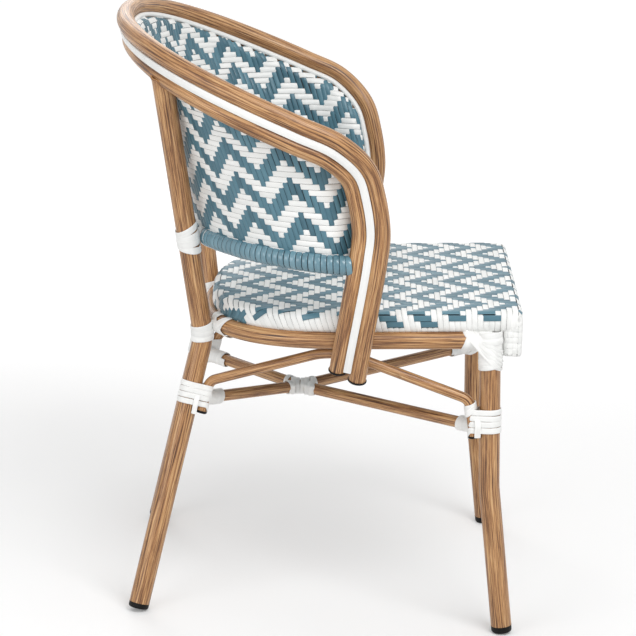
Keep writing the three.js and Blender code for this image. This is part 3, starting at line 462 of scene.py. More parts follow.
class Finish(Tree):
    """A material and its texture nodes."""

    def __init__(self, name, **sockets):
        self.material = bpy.data.materials.new(name)
        super().__init__(self.material, "Principled BSDF")
        self.set(**sockets)

    def attribute(self, name):
        return self.node("Attribute", attribute_name=name)

    def noise(self, vector, scales, detail=4.0, roughness=0.55, distortion=0.0):
        """Noise whose grain is this many times finer than a metre in each direction."""
        mapping = self.node("Mapping", scale=scales)
        self.link(vector, mapping.inputs["Vector"])
        noise = self.node("TexNoise", scale=1.0, detail=detail, roughness=roughness, distortion=distortion)
        self.link(mapping.outputs[0], noise.inputs["Vector"])
        return noise.outputs["Fac"]

    def ramp(self, source, stops):
        ramp = self.node("ValToRGB")
        for place, colour in stops[2:]:
            ramp.color_ramp.elements.new(place)
        for element, (place, colour) in zip(ramp.color_ramp.elements, sorted(stops)):
            element.position, element.color = place, colour
        self.link(source, ramp.inputs[0])
        return ramp.outputs[0]

    def span(self, source, low, high):
        """Maps 0 to 1 onto a range of values."""
        spread = self.node("MapRange", to_min=low, to_max=high)
        self.link(source, spread.inputs["Value"])
        return spread.outputs[0]

    def mixed(self, share, first, second, blend="MIX"):
        mix = self.node("Mix", data_type="RGBA", blend_type=blend)
        for value, socket in ((share, mix.inputs[0]), (first, mix.inputs[6]), (second, mix.inputs[7])):
            if isinstance(value, (float, list, tuple)):
                socket.default_value = value
            else:
                self.link(value, socket)
        return mix.outputs[2]

    def bump(self, height, strength, distance):
        bump = self.node("Bump", strength=strength, distance=distance)
        self.link(height, bump.inputs["Height"])
        self.link(bump.outputs[0], self.shader.inputs["Normal"])

    def colour(self, socket):
        self.link(socket, self.shader.inputs["Base Color"])


def rattan_finish():
    """A painted wood grain on metal tube: streaks along it, fine fibres, dark knots and a satin varnish."""
    finish = Finish("rattan_tube", roughness=0.4, coat_weight=0.2, coat_roughness=0.25)
    grain = finish.attribute("grain").outputs["Vector"]
    streaks = finish.noise(grain, (520, 520, 11), detail=6.0, roughness=0.68, distortion=0.35)
    wood = finish.ramp(streaks, [
        (0.37, linear(84, 52, 28)), (0.44, linear(150, 103, 62)), (0.50, linear(196, 147, 97)),
        (0.57, linear(220, 173, 120)), (0.66, linear(240, 202, 154)),
    ])
    fibres = finish.noise(grain, (1300, 1300, 22), detail=3.0, roughness=0.75)
    wood = finish.mixed(0.85, wood, finish.ramp(fibres, [
        (0.34, linear(138, 112, 92)), (0.47, linear(226, 220, 212)), (0.66, linear(255, 255, 255)),
    ]), "MULTIPLY")
    rings = finish.noise(grain, (90, 90, 20), detail=3.0, distortion=1.6)
    knots = finish.ramp(rings, [(0.64, [0, 0, 0, 1]), (0.76, [1, 1, 1, 1])])
    wood = finish.mixed(finish.math("MULTIPLY", knots, 0.5), wood, linear(92, 58, 34))
    patches = finish.noise(grain, (45, 45, 4), detail=2.0)
    wood = finish.mixed(0.5, wood, finish.ramp(patches, [
        (0.3, linear(214, 205, 197)), (0.68, linear(255, 253, 248)),
    ]), "MULTIPLY")
    finish.colour(wood)
    finish.link(finish.span(streaks, 0.48, 0.33), finish.shader.inputs["Roughness"])
    finish.bump(finish.math("ADD", fibres, finish.math("MULTIPLY", streaks, 0.6)), 0.4, 0.0003)
    return finish.material


def strand_finish(name, dark, light, roughness, coat):
    """Extruded flat strand: fine ribs along it, a shade for each strand and a slight mottle."""
    finish = Finish(name, roughness=roughness, coat_weight=coat, coat_roughness=0.18)
    grain = finish.attribute("grain").outputs["Vector"]
    shade = finish.attribute("shade").outputs["Fac"]
    ribs = finish.noise(grain, (2600, 2600, 14), detail=2.0, roughness=0.5)
    mottle = finish.noise(grain, (260, 260, 55), detail=3.0)
    tone = finish.math("ADD", *(finish.math("MULTIPLY", *pair) for pair in ((shade, 0.55), (mottle, 0.45))))
    base = finish.ramp(tone, [(0.15, linear(*dark)), (0.85, linear(*light))])
    finish.colour(finish.mixed(0.22, base, finish.ramp(ribs, [
        (0.3, linear(205, 205, 205)), (0.65, linear(255, 255, 255)),
    ]), "MULTIPLY"))
    finish.link(finish.span(mottle, roughness - 0.06, roughness + 0.08), finish.shader.inputs["Roughness"])
    finish.bump(ribs, 0.25, 0.00025)
    return finish.material


def plastic_finish():
    finish = Finish("black_plastic", roughness=0.5, specular_ior_level=0.2)
    position = finish.node("TexCoord").outputs["Object"]
    pores = finish.noise(position, (2400, 2400, 2400), detail=3.0)
    scuffs = finish.noise(position, (160, 160, 320), detail=5.0, roughness=0.7)
    finish.colour(finish.ramp(scuffs, [(0.4, linear(7, 7, 7)), (0.72, linear(24, 23, 22))]))
    finish.link(finish.span(scuffs, 0.4, 0.62), finish.shader.inputs["Roughness"])
    finish.bump(pores, 0.25, 0.0002)
    return finish.material


def metal_finish():
    finish = Finish("bare_metal", metallic=1.0, roughness=0.3)
    position = finish.node("TexCoord").outputs["Object"]
    brushed = finish.noise(position, (300, 2600, 2600), detail=4.0)
    finish.colour(finish.ramp(brushed, [(0.3, linear(150, 152, 155)), (0.7, linear(205, 206, 208))]))
    finish.link(finish.span(brushed, 0.22, 0.42), finish.shader.inputs["Roughness"])
    finish.bump(brushed, 0.2, 0.0001)
    return finish.material


wood = rattan_finish()
white_strand = strand_finish("white_strand", (230, 231, 229), (252, 252, 250), 0.45, 0.08)
teal_strand = strand_finish("teal_strand", (46, 88, 104), (91, 135, 151), 0.36, 0.14)
# The wrap's teal is painted lighter than the weave's teal strand: painted light on the same teal
teal_wrap = strand_finish("teal_wrap", (76, 117, 132), (116, 156, 171), 0.22, 0.75)
# A dark finish of painted shade, for the sheets and the sleeve that darken the gaps between strands
shade_sheet_finish = strand_finish("painted_shade_sheet", (34, 42, 47), (50, 58, 63), 0.7, 0.0)
black_plastic = plastic_finish()
bare_metal = metal_finish()


# ---- Frame tubes ----
def wooden_tube(name, points, radius, sides, shade):
    piece = Piece()
    piece.tube(points, radius, sides, shade)
    piece.made(name, wood, "rattan_tube")


def turned_cap(name, start, direction, profile, sides, crease=40):
    """A black cap turned round an axis, from pairs of a height along it and a radius."""
    heights, radii = np.array(profile).T
    points = start + np.outer(heights, direction)
    across, out = turning_frames(np.array([start, start + direction]))
    frames = (np.repeat(f[:1], len(points), 0) for f in (across, out))
    piece = Piece()
    piece.sweep(points, *frames, circle(sides)[None] * radii[:, None, None])
    piece.made(name, black_plastic, "black_plastic", crease=crease)


def band_piece(name, material, slot, ring, shortening):
    """A piece that follows the back and arm rail and twists with it."""
    at = lengths(rail)
    places = np.linspace(shortening, at[-1] - shortening, len(rail))
    points, across, out = (between(v, at, places) for v in (rail, rail_across, rail_out))
    piece = Piece()
    piece.sweep(points, unit(across), unit(out), ring)
    piece.made(name, material, slot)


def add_rails():
    ring = circle(32)
    inner_ring = ring * INNER_RAIL_RADIUS + [RAIL_SPACING, 0]
    band_piece("outer_rail", wood, "rattan_tube", ring * OUTER_RAIL_RADIUS, 0)
    band_piece("inner_rail", wood, "rattan_tube", inner_ring, INNER_SHORTENING)
    half, high, edge = STRIP_WIDTH / 2, STRIP_HIGH, 0.8
    flat = crowned([[half, STRIP_LOW], [half, high - edge], [half - 0.3 * edge, high - 0.3 * edge],
                    [half - edge, high]], high + 0.25)
    band_piece("outer_strip", white_strand, "white_trim", flat + [GROOVE_MIDDLE, 0], TRIM_SHORTENING)
    piping = circle(20) * PIPING_RADIUS + [GROOVE_MIDDLE, -PIPING_DEPTH]
    band_piece("inner_piping", white_strand, "white_trim", piping, TRIM_SHORTENING)


def saddle_ends(path, radius, other, other_radius, sides=48):
    """Where each side line of a leg's upper end meets the tube that it is welded under."""
    across, out = turning_frames(path)
    ahead = unit(path[-1] - path[-2])
    before, search = 40, np.linspace(0, 50, 201)
    ends = []
    for a, b in circle(sides) * radius:
        start = path[-1] + across[-1] * a + out[-1] * b - ahead * before
        places = start + ahead * search[:, None]
        gaps = np.array([np.linalg.norm(other - p, axis=1).min() for p in places])
        nearest = int(np.argmin(gaps))
        meets = np.nonzero(gaps[:nearest + 1] <= other_radius)[0]
        ends.append(places[meets[0] if len(meets) else nearest])
    return np.array(ends)


def add_legs():
    """Rear legs whose tops are cut to the inner rail, with a weld bead, and front legs."""
    below_seam, shade = 30, 0.5
    for name, side in SIDES:
        path = flipped(rear_leg, side)
        near_rail = flipped(inner_rail[MIDDLE:MIDDLE + 130], side)
        seam = saddle_ends(path, LEG_RADIUS, near_rail, INNER_RAIL_RADIUS)
        sides = len(seam)
        shaft = trimmed(path, CAP_TOP - GAP, below_seam)
        across, out = turning_frames(shaft)
        ring = circle(sides) * LEG_RADIUS
        leg = Piece()
        leg.sweep(shaft, across, out, ring, shade)
        last = shaft[-1] + across[-1] * ring[:, :1] + out[-1] * ring[:, 1:]
        seam = seam[match_ring(last, seam, unit(path[-1] - path[-2]))]
        tops = (lengths(line)[-1] + SHADE_SHIFT * shade for line in (shaft, path))
        grain = np.vstack([np.column_stack([ring, np.full(sides, top)]) for top in tops]) * MM
        leg.add(np.vstack([last, seam]), [ring_quads(2, sides)], grain, shade)
        leg.sweep(seam, *loop_frames(seam), circle(8) * 1.5, 0.2, closed=True)
        leg.made(f"rear_leg_{name}", wood, "rattan_tube")
        front = trimmed(flipped(front_leg, side), CAP_TOP - GAP, 6)
        wooden_tube(f"front_leg_{name}", front, LEG_RADIUS, 40, 0.8)


def match_ring(ring, others, ahead):
    """The order in which the others lie straight ahead of the ring's points."""
    flat = lambda p: p - np.outer(p @ ahead, ahead)
    gaps = np.linalg.norm(flat(ring)[:, None] - flat(others)[None], axis=2)
    start = int(np.argmin(gaps[0]))
    count = len(ring)
    forward = [(start + k) % count for k in range(count)]
    backward = [(start - k) % count for k in range(count)]
    return min((forward, backward), key=lambda order: gaps[np.arange(count), order].sum())


def loop_frames(loop):
    ahead = loop_tangents(loop)
    out = squared(unit(loop - loop.mean(0)), ahead)
    return np.cross(out, ahead), out


def add_foot_caps():
    """Black caps square to their legs, with rounded rims that touch the floor at one side."""
    radius, rim, lip = 13.95, 3.4, 0.25
    turns = np.linspace(0, math.pi / 2, 6)
    for name, side in SIDES:
        for end, path in (("rear", rear_leg), ("front", front_leg)):
            foot = flipped(path, side)[:2]
            ahead = unit(foot[1] - foot[0])
            tilt = math.acos(ahead[2])
            base = (rim + (radius - rim) * math.sin(tilt)) / math.cos(tilt) - rim
            profile = [
                (base + 0.6, radius - rim - 4), (base, radius - rim - 3),
                *((base + rim * (1 - math.cos(a)), radius - rim + rim * math.sin(a)) for a in turns),
                (CAP_TOP - 0.5, radius), (CAP_TOP - 0.4, radius + lip), (CAP_TOP, radius + lip),
                (CAP_TOP, radius - 2),
            ]
            turned_cap(f"{end}_foot_cap_{name}", foot[0], ahead, profile, 44)


def add_seat_frame():
    wooden_tube("seat_frame_rail", trimmed(seat_rail, 8, 8), SEAT_TUBE_RADIUS, 32, 0.3)


def add_stretchers():
    """One through stretcher, slightly bent, and two halves that meet it at the crossing."""
    through = bent([stretcher_end(rear_leg, -1), CROSSING, stretcher_end(front_leg, 1)], [400.0])
    wooden_tube("stretcher_through", trimmed(through, 10, 10), STRETCHER_RADIUS, 28, 0.15)
    for name, path, side in (("rear", rear_leg, 1), ("front", front_leg, -1)):
        half = spaced(np.array([stretcher_end(path, side), CROSSING]), 4)
        wooden_tube(f"stretcher_half_{name}", trimmed(half, 10, 6), STRETCHER_RADIUS, 28, 0.65)


def add_braces():
    for name, side in SIDES:
        points = flipped(brace, side)
        wooden_tube(f"side_brace_{name}", points, BRACE_RADIUS, 28, 0.45)
        for end, tip, before in (("rear", points[0], points[1]), ("front", points[-1], points[-2])):
            add_plug(f"brace_plug_{end}_{name}", tip, unit(tip - before), BRACE_RADIUS)


def add_plug(name, tip, outward, radius):
    """A black end plug: a thin round cap with an eased edge."""
    profile = ((-1.5, -0.6), (-0.2, -0.6), (-0.2, 0.9), (0.2, 1.15), (2.0, 1.0), (2.9, 0.2), (3.3, -1.2),
               (3.3, -2.5))
    turned_cap(name, tip, outward, [(height, radius + rise) for height, rise in profile], 32, PLUG_CREASE)


def add_arm_ends():
    """Plugs in the arms' four ends, and a metal spacer between each arm and the seat rail."""
    inner_ends = trimmed(rail, INNER_SHORTENING, INNER_SHORTENING) + rail_across * RAIL_SPACING
    for name, index, sense in (("left", 0, -1), ("right", -1, 1)):
        outward = rail_ahead[index] * sense
        add_plug(f"arm_plug_outer_{name}", rail[index], outward, OUTER_RAIL_RADIUS)
        add_plug(f"arm_plug_inner_{name}", inner_ends[index], outward, INNER_RAIL_RADIUS)
    spacer_radius, head_radius, head_length = 5.5, 4.2, 2.6
    sunk, head_sunk = 0.8, 1.0
    for name, side in SIDES:
        arm = flipped(ARM_AT_SEAT, side)
        seat = np.array([side * SEAT_HALF_WIDTH, arm[1], arm[2]])
        towards = unit(seat - arm)
        start, end = arm + towards * (INNER_RAIL_RADIUS - sunk), seat - towards * (SEAT_TUBE_RADIUS - sunk)
        head = seat + towards * (SEAT_TUBE_RADIUS - head_sunk)
        piece = Piece()
        piece.tube(np.linspace(start, end, 5), spacer_radius, 28, ends=0.2)
        piece.tube(np.linspace(head, head + towards * head_length, 4), head_radius, 24, ends=1.0)
        piece.made(f"arm_spacer_{name}", bare_metal, "bare_metal")


# ---- Wrapped lower rail ----
# How far from the middle a lashing parts the wrap, and half the length that it parts
WRAP_PARTS, WRAP_GAP = 124.0, 8
WRAP_PITCH, WRAP_THICKNESS = 8.0, 1.45


def add_lower_rail():
    """The tube, a dark sleeve of painted shade on it, which darkens the gaps between the turns, and a teal
    strand wound round both, one turn after the other.
    """
    wooden_tube("back_lower_rail", wrapped_rail, LOWER_RAIL_RADIUS, 24, 0.9)
    per_turn = 24
    beyond = np.array([0, -8.0, 0])
    centreline = resampled(np.vstack([wrapped_rail[0] + beyond, wrapped_rail, wrapped_rail[-1] + beyond]), 400)
    turns = int(lengths(centreline)[-1] / WRAP_PITCH)
    axis = resampled(centreline, turns * per_turn + 1)
    across, out = turning_frames(axis)
    ahead = tangents(axis)
    angles = -2 * math.pi * np.arange(len(axis)) / per_turn
    radial = out * np.cos(angles)[:, None] + across * np.sin(angles)[:, None]
    wrap = Piece()
    for turn in range(turns):
        span = slice(turn * per_turn, (turn + 1) * per_turn + 3)
        tone = rng.uniform(0.15, 0.85)
        lift = LOWER_RAIL_RADIUS + 0.9 + rng.uniform(0, 0.35)
        width = WRAP_PITCH - 0.25 + rng.uniform(-0.3, 0.2)
        middle = axis[turn * per_turn + per_turn // 2]
        if abs(abs(middle[0]) - WRAP_PARTS) < WRAP_GAP:
            continue
        points = axis[span] + radial[span] * lift
        wrap.sweep(points, ahead[span], radial[span], strand_ring(width, WRAP_THICKNESS), tone)
    # The sleeve is painted shade: a dark tube that shows as shadow between the turns of the wrap
    sleeve = Piece()
    sleeve.tube(trimmed(wrapped_rail, 2, 2), LOWER_RAIL_RADIUS + 0.4, 24, 0.4)
    sleeve.made("back_rail_wrap_shade_sheet", shade_sheet_finish, "teal_strand", "back_rail_wrap")
    wrap.made("back_rail_wrap", teal_wrap, "teal_strand", crease=LASHING_CREASE)


# ---- Woven back ----
COLUMN_PITCH, ROW_PITCH, FIRST_COLUMN, FIRST_ROW = 7.17, 8.0, 0.3, 26.0
BACK_HEIGHT = 300
BACK_LIFT = 0.7
# Half the thickness of the dark sheets of painted shade inside the weaves
SHADE_SHEET_HALF = 0.12
STRAND_THICKNESS = 1.15
# The shares of a pitch at which a strand bends beside a crossing, and that it covers in the back and the seat
FLOAT_SHARE, BACK_COVER, SEAT_COVER = 0.3, 0.955, 0.96
TWILL, ZIGZAG = 6, 10
LEAN = 0.15
WEAVE_INSIDE = 15.8
LOWER_ARC = 364.4
BEYOND = 62
LAP_RADIUS, LAP_END, LAP_ANGLE = 14.5, 13.3, 0.78
LAP = LAP_RADIUS * LAP_ANGLE
SETTLING = 42.0
SHEET_TURNING_Z = 668.0


def back_sheet():
    """Both edges of the ruled sheet between the lower rail and the inner rail, and the way along the lower one.

    The sheet goes on straight in front of the lower rail's end."""
    right_rail = rail[MIDDLE:]
    turning = int(np.argmax(right_rail[:, 2] < SHEET_TURNING_Z))
    angles = np.linspace(0, math.pi / 2, 361)
    low = lower_rail(angles)
    low = np.vstack([low, low[-1] + np.outer(np.arange(1, BEYOND), [-0.1, -1, 0])])
    back = np.concatenate([np.cos(angles), np.zeros(BEYOND - 1)])
    top_y = low[:, 1] + (RAIL_BACK_Y - LOWER_RAIL["back"]) * back
    at = np.interp(-top_y, -right_rail[:turning + 1, 1], np.arange(turning + 1))
    top = picked(inner_rail[MIDDLE:], at) - unit(picked(rail_out[MIDDLE:], at)) * WEAVE_INSIDE
    top[:, 1] += np.minimum(top_y - right_rail[turning, 1], 0)
    return lengths(low), low, top


back_arc, back_low, back_top = back_sheet()
hoop_tree = tree_of(inner_rail[MIDDLE:2 * MIDDLE])


def back_place(along, up):
    """Points of the back's middle surface, and how far each has gone past the inner rail's middle."""
    side = np.where(along < 0, -1.0, 1.0)
    at = np.interp(np.abs(along), back_arc, np.arange(len(back_arc)))
    low, top = picked(back_low, at), picked(back_top, at)
    point = low + (top - low) * (up / np.linalg.norm(top - low, axis=-1))[:, None]
    nearest = np.array([hoop_tree.find(p)[1] for p in point]) + MIDDLE
    spacing = np.linalg.norm(inner_rail[MIDDLE + 1] - inner_rail[MIDDLE])
    ahead = ((point - inner_rail[nearest]) * rail_ahead[nearest]).sum(1) / spacing
    place = np.clip(nearest + ahead, MIDDLE, len(rail) - 1)
    centre, across, out = (picked(v, place) for v in (inner_rail, rail_across, rail_out))
    offset = point - centre
    inward, outward = (offset * across).sum(1), (offset * out).sum(1)
    settled = np.clip(inward / SETTLING, 0, 1)
    settled = settled * settled * (3 - 2 * settled)
    level = -LAP_RADIUS + (outward + LAP_RADIUS) * settled
    angle = np.clip(-inward, 0, LAP * 1.6) / LAP_RADIUS
    reach = LAP_RADIUS + (LAP_END - LAP_RADIUS) * np.clip(angle / LAP_ANGLE, 0, 1)
    lapped = centre - across * (reach * np.sin(angle))[:, None] - out * (reach * np.cos(angle))[:, None]
    point = np.where((inward < 0)[:, None], lapped, point + out * (level - outward)[:, None])
    point[:, 0] *= side
    return point, -inward


def back_normal(along, up):
    step = 1.5
    ahead = back_place(along + step, up)[0] - back_place(along - step, up)[0]
    rise = back_place(along, up + step)[0] - back_place(along, up - step)[0]
    return unit(np.cross(rise, ahead))


def back_column_place(start, up):
    return start - LEAN * up * np.sin(np.clip(start / LOWER_ARC, -1, 1) * math.pi / 2)


def zigzag(k):
    return np.abs(k % ZIGZAG - ZIGZAG // 2)


def floats(centres, half):
    """Two places for each crossing, just inside its edges."""
    return np.stack([centres - half, centres + half], 1).ravel()


def longest_run(valid):
    return max(runs(valid), key=len, default=np.array([], int))


def woven_strand(piece, place, ends, centres, over, pitch, width):
    """One strand of the back, from where it turns over the rail to where it meets the other end."""
    fine = np.arange(*ends, 1.0)
    valid = place(fine)[1] < LAP
    run = longest_run(valid)
    if len(run) < 12:
        return
    first, last = fine[run[0]], fine[run[-1]]
    at = floats(centres, FLOAT_SHARE * pitch)
    lift = np.repeat(np.where(over, BACK_LIFT, -BACK_LIFT), 2)
    keep = (at > first + 2) & (at < last - 2)
    at = np.concatenate([[first], at[keep], [last]])
    lift = np.concatenate([[0], lift[keep], [0]]) - STRAND_THICKNESS / 2
    points, _, normals = place(at, True)
    piece.strand(points + normals * lift[:, None], normals, width, STRAND_THICKNESS, rng.uniform(0.1, 0.9))


def add_back_shade_sheet():
    """A dark sheet of painted shade between the two layers of strands of the back, which darkens the gaps of
    the weave.
    """
    reach, count = LOWER_ARC + 22, 31
    alongs = np.linspace(-reach, reach, 161)
    grid, normals = [], []
    for along in alongs:
        fine = np.arange(9 if abs(along) < LOWER_ARC else 5, BACK_HEIGHT, 1.0)
        run = longest_run(back_place(np.full(len(fine), along), fine)[1] < LAP - 1)
        ups = np.linspace(fine[run[0]], fine[run[-1]], count)
        same = np.full(count, along)
        grid.append(back_place(same, ups)[0])
        normals.append(back_normal(same, ups))
    grid, normals = np.array(grid), np.array(normals)
    n = len(alongs)
    body = np.vstack([(grid + normals * t).reshape(-1, 3) for t in (SHADE_SHEET_HALF, -SHADE_SHEET_HALF)])
    i, j = np.meshgrid(np.arange(n - 1), np.arange(count - 1), indexing="ij")
    corner = i * count + j
    quads = np.stack([corner, corner + count, corner + count + 1, corner + 1], 2).reshape(-1, 4)
    layer = n * count
    rim = np.concatenate([
        np.arange(n) * count, (n - 1) * count + np.arange(1, count),
        np.arange(n - 2, -1, -1) * count + count - 1, np.arange(count - 2, 0, -1),
    ])
    after = np.roll(rim, -1)
    edge = np.stack([rim, rim + layer, after + layer, after], 1)
    core = Piece()
    core.add(body, [quads, quads[:, ::-1] + layer, edge], body * MM, 0.5)
    core.made("back_shade_sheet", shade_sheet_finish, "back_weave", "back_panel")


def back_found(along, up, normal):
    """A strand's points and how far they are past the rail, and where asked for the surface's normals."""
    found = back_place(along, up)
    return (*found, back_normal(along, up)) if normal else found


def add_back():
    """Teal strands that run up and white ones that run across, in a zigzag twill."""
    limit = int((back_arc[-1] - 4) / COLUMN_PITCH)
    columns = np.arange(-limit, limit + 1)
    starts = FIRST_COLUMN + COLUMN_PITCH * columns
    rows = np.arange(-2, 34)
    heights = FIRST_ROW + ROW_PITCH * rows
    reach = back_arc[-1] - 1
    teal, white = Piece(), Piece()
    teal_over = ((rows[:, None] + zigzag(columns)[None]) % TWILL) >= TWILL // 2
    for k, start in enumerate(starts):
        ends = (9 if abs(start) < LOWER_ARC else 4, BACK_HEIGHT)
        woven_strand(teal, lambda up, normal=False: back_found(back_column_place(start, up), up, normal),
                     ends, heights, teal_over[:, k], ROW_PITCH, COLUMN_PITCH * BACK_COVER)
    for i, height in enumerate(heights):
        centres = back_column_place(starts, height)
        woven_strand(white, lambda along, normal=False: back_found(along, np.full(len(along), height), normal),
                     (-reach, reach), centres, ~teal_over[i], COLUMN_PITCH, ROW_PITCH * BACK_COVER)
    add_back_shade_sheet()
    teal.made("back_weave_teal", teal_strand, "back_weave", "back_panel", WEAVE_CREASE)
    white.made("back_weave_white", white_strand, "back_weave", "back_panel", WEAVE_CREASE)


# ---- Woven seat ----
SEAT_PITCH_Y, SEAT_FIRST_Y = 7.797, -114.65
SEAT_PITCH_X, SEAT_FIRST_X = 8.223, 46.29
SEAT_ROLL = 8.0
SEAT_REAR_SINK = 3.0
SEAT_LIFT = 0.85
TURNED_UNDER = 16.0
# The side strands slant down the wall, most between these places, and fade out over these lengths
SIDE_SLANT = 0.3
SLANT_FRONT_Y, SLANT_FRONT_FADE, SLANT_REAR_Y, SLANT_REAR_FADE = -235.0, 150.0, 60.0, 90.0
wall_height = PANEL_HEIGHT - 2 * SEAT_ROLL
quarter_roll = SEAT_ROLL * math.pi / 2
wrap_reach = 2 * quarter_roll + wall_height + TURNED_UNDER - SEAT_ROLL


def seat_outline():
    angles = np.linspace(0, math.pi, 900)
    x = np.sign(np.cos(angles)) * PANEL_HALF_WIDTH * rounded(np.cos(angles), SEAT_ROUNDNESS)
    y = SEAT_CURVE_Y + (PANEL_BACK_Y - SEAT_CURVE_Y) * rounded(np.sin(angles), SEAT_ROUNDNESS)
    corner = 16.0
    front = []
    for side, start in ((-1, math.pi), (1, 1.5 * math.pi)):
        turn = np.linspace(start, start + math.pi / 2, 24)
        front.append(np.stack([
            side * (PANEL_HALF_WIDTH - corner) + corner * np.cos(turn),
            PANEL_FRONT_Y + corner + corner * np.sin(turn),
        ], 1))
    closed = np.vstack([np.stack([x, y], 1), *front, [[x[0], y[0]]]])
    return resampled(closed, 2601)[:-1]


outline = seat_outline()
outline_ahead = loop_tangents(outline)
outline_out = beside_plan(outline_ahead)
outline_tree = tree_of(np.column_stack([outline, np.zeros(len(outline))]))


def seat_surface(plan):
    """Wraps plan points over the seat: on its top, round its rolled edge, down its wall and under it.

    Gives the points, the surface's normals and how far each point is past the start of the roll."""
    nearest = np.array([outline_tree.find((x, y, 0))[1] for x, y in plan])
    edge, ahead, out = outline[nearest], outline_ahead[nearest], outline_out[nearest]
    offset = plan - edge
    edge = edge + ahead * (offset * ahead).sum(1)[:, None]
    past = (offset * out).sum(1) + SEAT_ROLL
    first = np.clip(past / SEAT_ROLL, 0, math.pi / 2)
    down = np.clip(past - quarter_roll, 0, wall_height)
    second = np.clip((past - quarter_roll - wall_height) / SEAT_ROLL, 0, math.pi / 2)
    under = np.clip(past - 2 * quarter_roll - wall_height, 0, None)
    inset = SEAT_ROLL * (1 - np.sin(first)) + SEAT_ROLL * (1 - np.cos(second)) + under
    flat = np.where((past > 0)[:, None], edge - out * inset[:, None], plan)
    drop = SEAT_ROLL * (1 - np.cos(first)) + down + SEAT_ROLL * np.sin(second)
    rear = np.clip((flat[:, 1] - SEAT_CURVE_Y) / (PANEL_BACK_Y - SEAT_CURVE_Y), 0, 1)
    wide = flat[:, 0] / PANEL_HALF_WIDTH
    crown = PANEL_CROWN * np.clip(1 - wide ** 2, 0, 1) * np.clip(1 - rear ** 2, 0, 1)
    top = seat_height(flat[:, 1]) + PANEL_REST + PANEL_HEIGHT + crown - SEAT_REAR_SINK * rear
    slant = (SIDE_SLANT * np.clip((flat[:, 1] - SLANT_FRONT_Y) / SLANT_FRONT_FADE, 0, 1)
             * np.clip((SLANT_REAR_Y - flat[:, 1]) / SLANT_REAR_FADE, 0, 1))
    flat = np.stack([flat[:, 0], flat[:, 1] - slant * drop], 1)
    points = np.concatenate([flat, (top - drop)[:, None]], 1)
    sideways = np.sin(first) * np.cos(second)
    upward = np.cos(first) - np.sin(second)
    normals = np.concatenate([out * sideways[:, None], upward[:, None]], 1)
    return points, unit(normals), past


def laid_strand(piece, plan, lift, width, shade, most):
    """One strand of the seat, cut where it has turned under the edge."""
    points, normals, past = seat_surface(plan)
    for part in runs(past < most):
        if len(part) > 3:
            lifted = points[part] + normals[part] * (lift[part] - STRAND_THICKNESS / 2)[:, None]
            piece.strand(lifted, normals[part], width, STRAND_THICKNESS, shade)


def seat_line(centres, pitch, over, wall):
    """Places along a strand, which goes on past its last crossings down both walls, and its lift at each."""
    inside = floats(centres, FLOAT_SHARE * pitch)
    ends = np.full(len(wall), SEAT_LIFT * 0.4)
    along = np.concatenate([inside[0] - wall[::-1], inside, inside[-1] + wall])
    return along, np.concatenate([ends, np.repeat(np.where(over, SEAT_LIFT, -SEAT_LIFT), 2), ends])


def add_seat():
    """White strands from side to side and teal ones from rear to front, in a zigzag twill."""
    white, teal = Piece(), Piece()
    first_row = math.ceil((SEAT_FIRST_Y - PANEL_BACK_Y - 26) / SEAT_PITCH_Y)
    last_row = math.floor((SEAT_FIRST_Y - PANEL_FRONT_Y + 8) / SEAT_PITCH_Y)
    rows = np.arange(first_row, last_row + 1)
    reach = PANEL_HALF_WIDTH + 13
    first_column = math.ceil((-reach - SEAT_FIRST_X) / SEAT_PITCH_X)
    last_column = math.floor((reach - SEAT_FIRST_X) / SEAT_PITCH_X)
    columns = np.arange(first_column, last_column + 1)
    row_y = SEAT_FIRST_Y - SEAT_PITCH_Y * rows
    column_x = SEAT_FIRST_X + SEAT_PITCH_X * columns
    fold = columns % ZIGZAG
    zig = np.minimum(fold, ZIGZAG - fold)
    white_over = ((rows[:, None] + 2 - zig[None]) % TWILL) < TWILL // 2
    # Near the sides the teal strands end early, behind and in front, and the white ones stay on top
    outside = np.abs(column_x) - (PANEL_HALF_WIDTH - SEAT_ROLL)
    share = np.clip(np.abs(column_x) / PANEL_HALF_WIDTH, 0, 1)
    depth = PANEL_BACK_Y - SEAT_CURVE_Y
    edge_y = SEAT_CURVE_Y + depth * (1 - share ** SEAT_ROUNDNESS) ** (1 / SEAT_ROUNDNESS)
    corner_x, wall_rear_y, wall_rear_lean, beyond_edge = 178, 75, 7.6, 22
    low_wall, low_front_y, high_front_y, clear, never = 15, -186.0, -252.0, 3, 999.0
    teal_back = np.where(np.abs(column_x) > corner_x, edge_y + 2, never)
    on_wall = np.minimum(wall_rear_y - wall_rear_lean * outside, edge_y + beyond_edge)
    teal_back = np.where(outside > 0, on_wall, teal_back)
    teal_front = np.where(outside > low_wall, low_front_y, np.where(outside > 0, high_front_y, -never))
    white_over |= (row_y[:, None] > teal_back[None] - clear) | (row_y[:, None] < teal_front[None] + clear)
    wall = np.arange(6.0, wrap_reach + 6, 4.0)
    front_reach, hidden = 0.8 * quarter_roll, -99.0
    for i, y in enumerate(row_y):
        x, lift = seat_line(column_x, SEAT_PITCH_X, white_over[i], wall)
        plan = np.stack([x, np.full(len(x), y)], 1)
        laid_strand(white, plan, lift, SEAT_PITCH_Y * SEAT_COVER, rng.uniform(0.1, 0.9), wrap_reach)
    for k, x in enumerate(column_x):
        y, lift = seat_line(row_y[::-1], SEAT_PITCH_Y, ~white_over[::-1, k], wall)
        plan = np.stack([np.full(len(y), x), y], 1)
        most = np.where(y < PANEL_FRONT_Y + 13, front_reach, wrap_reach - 4)
        most = np.where((y > teal_back[k]) | (y < teal_front[k]), hidden, most)
        laid_strand(teal, plan, lift, SEAT_PITCH_X * SEAT_COVER, rng.uniform(0.1, 0.9), most)
    white.made("seat_weave_white", white_strand, "seat_weave", "seat_panel", WEAVE_CREASE)
    teal.made("seat_weave_teal", teal_strand, "seat_weave", "seat_panel", WEAVE_CREASE)
    add_seat_shade_sheet()


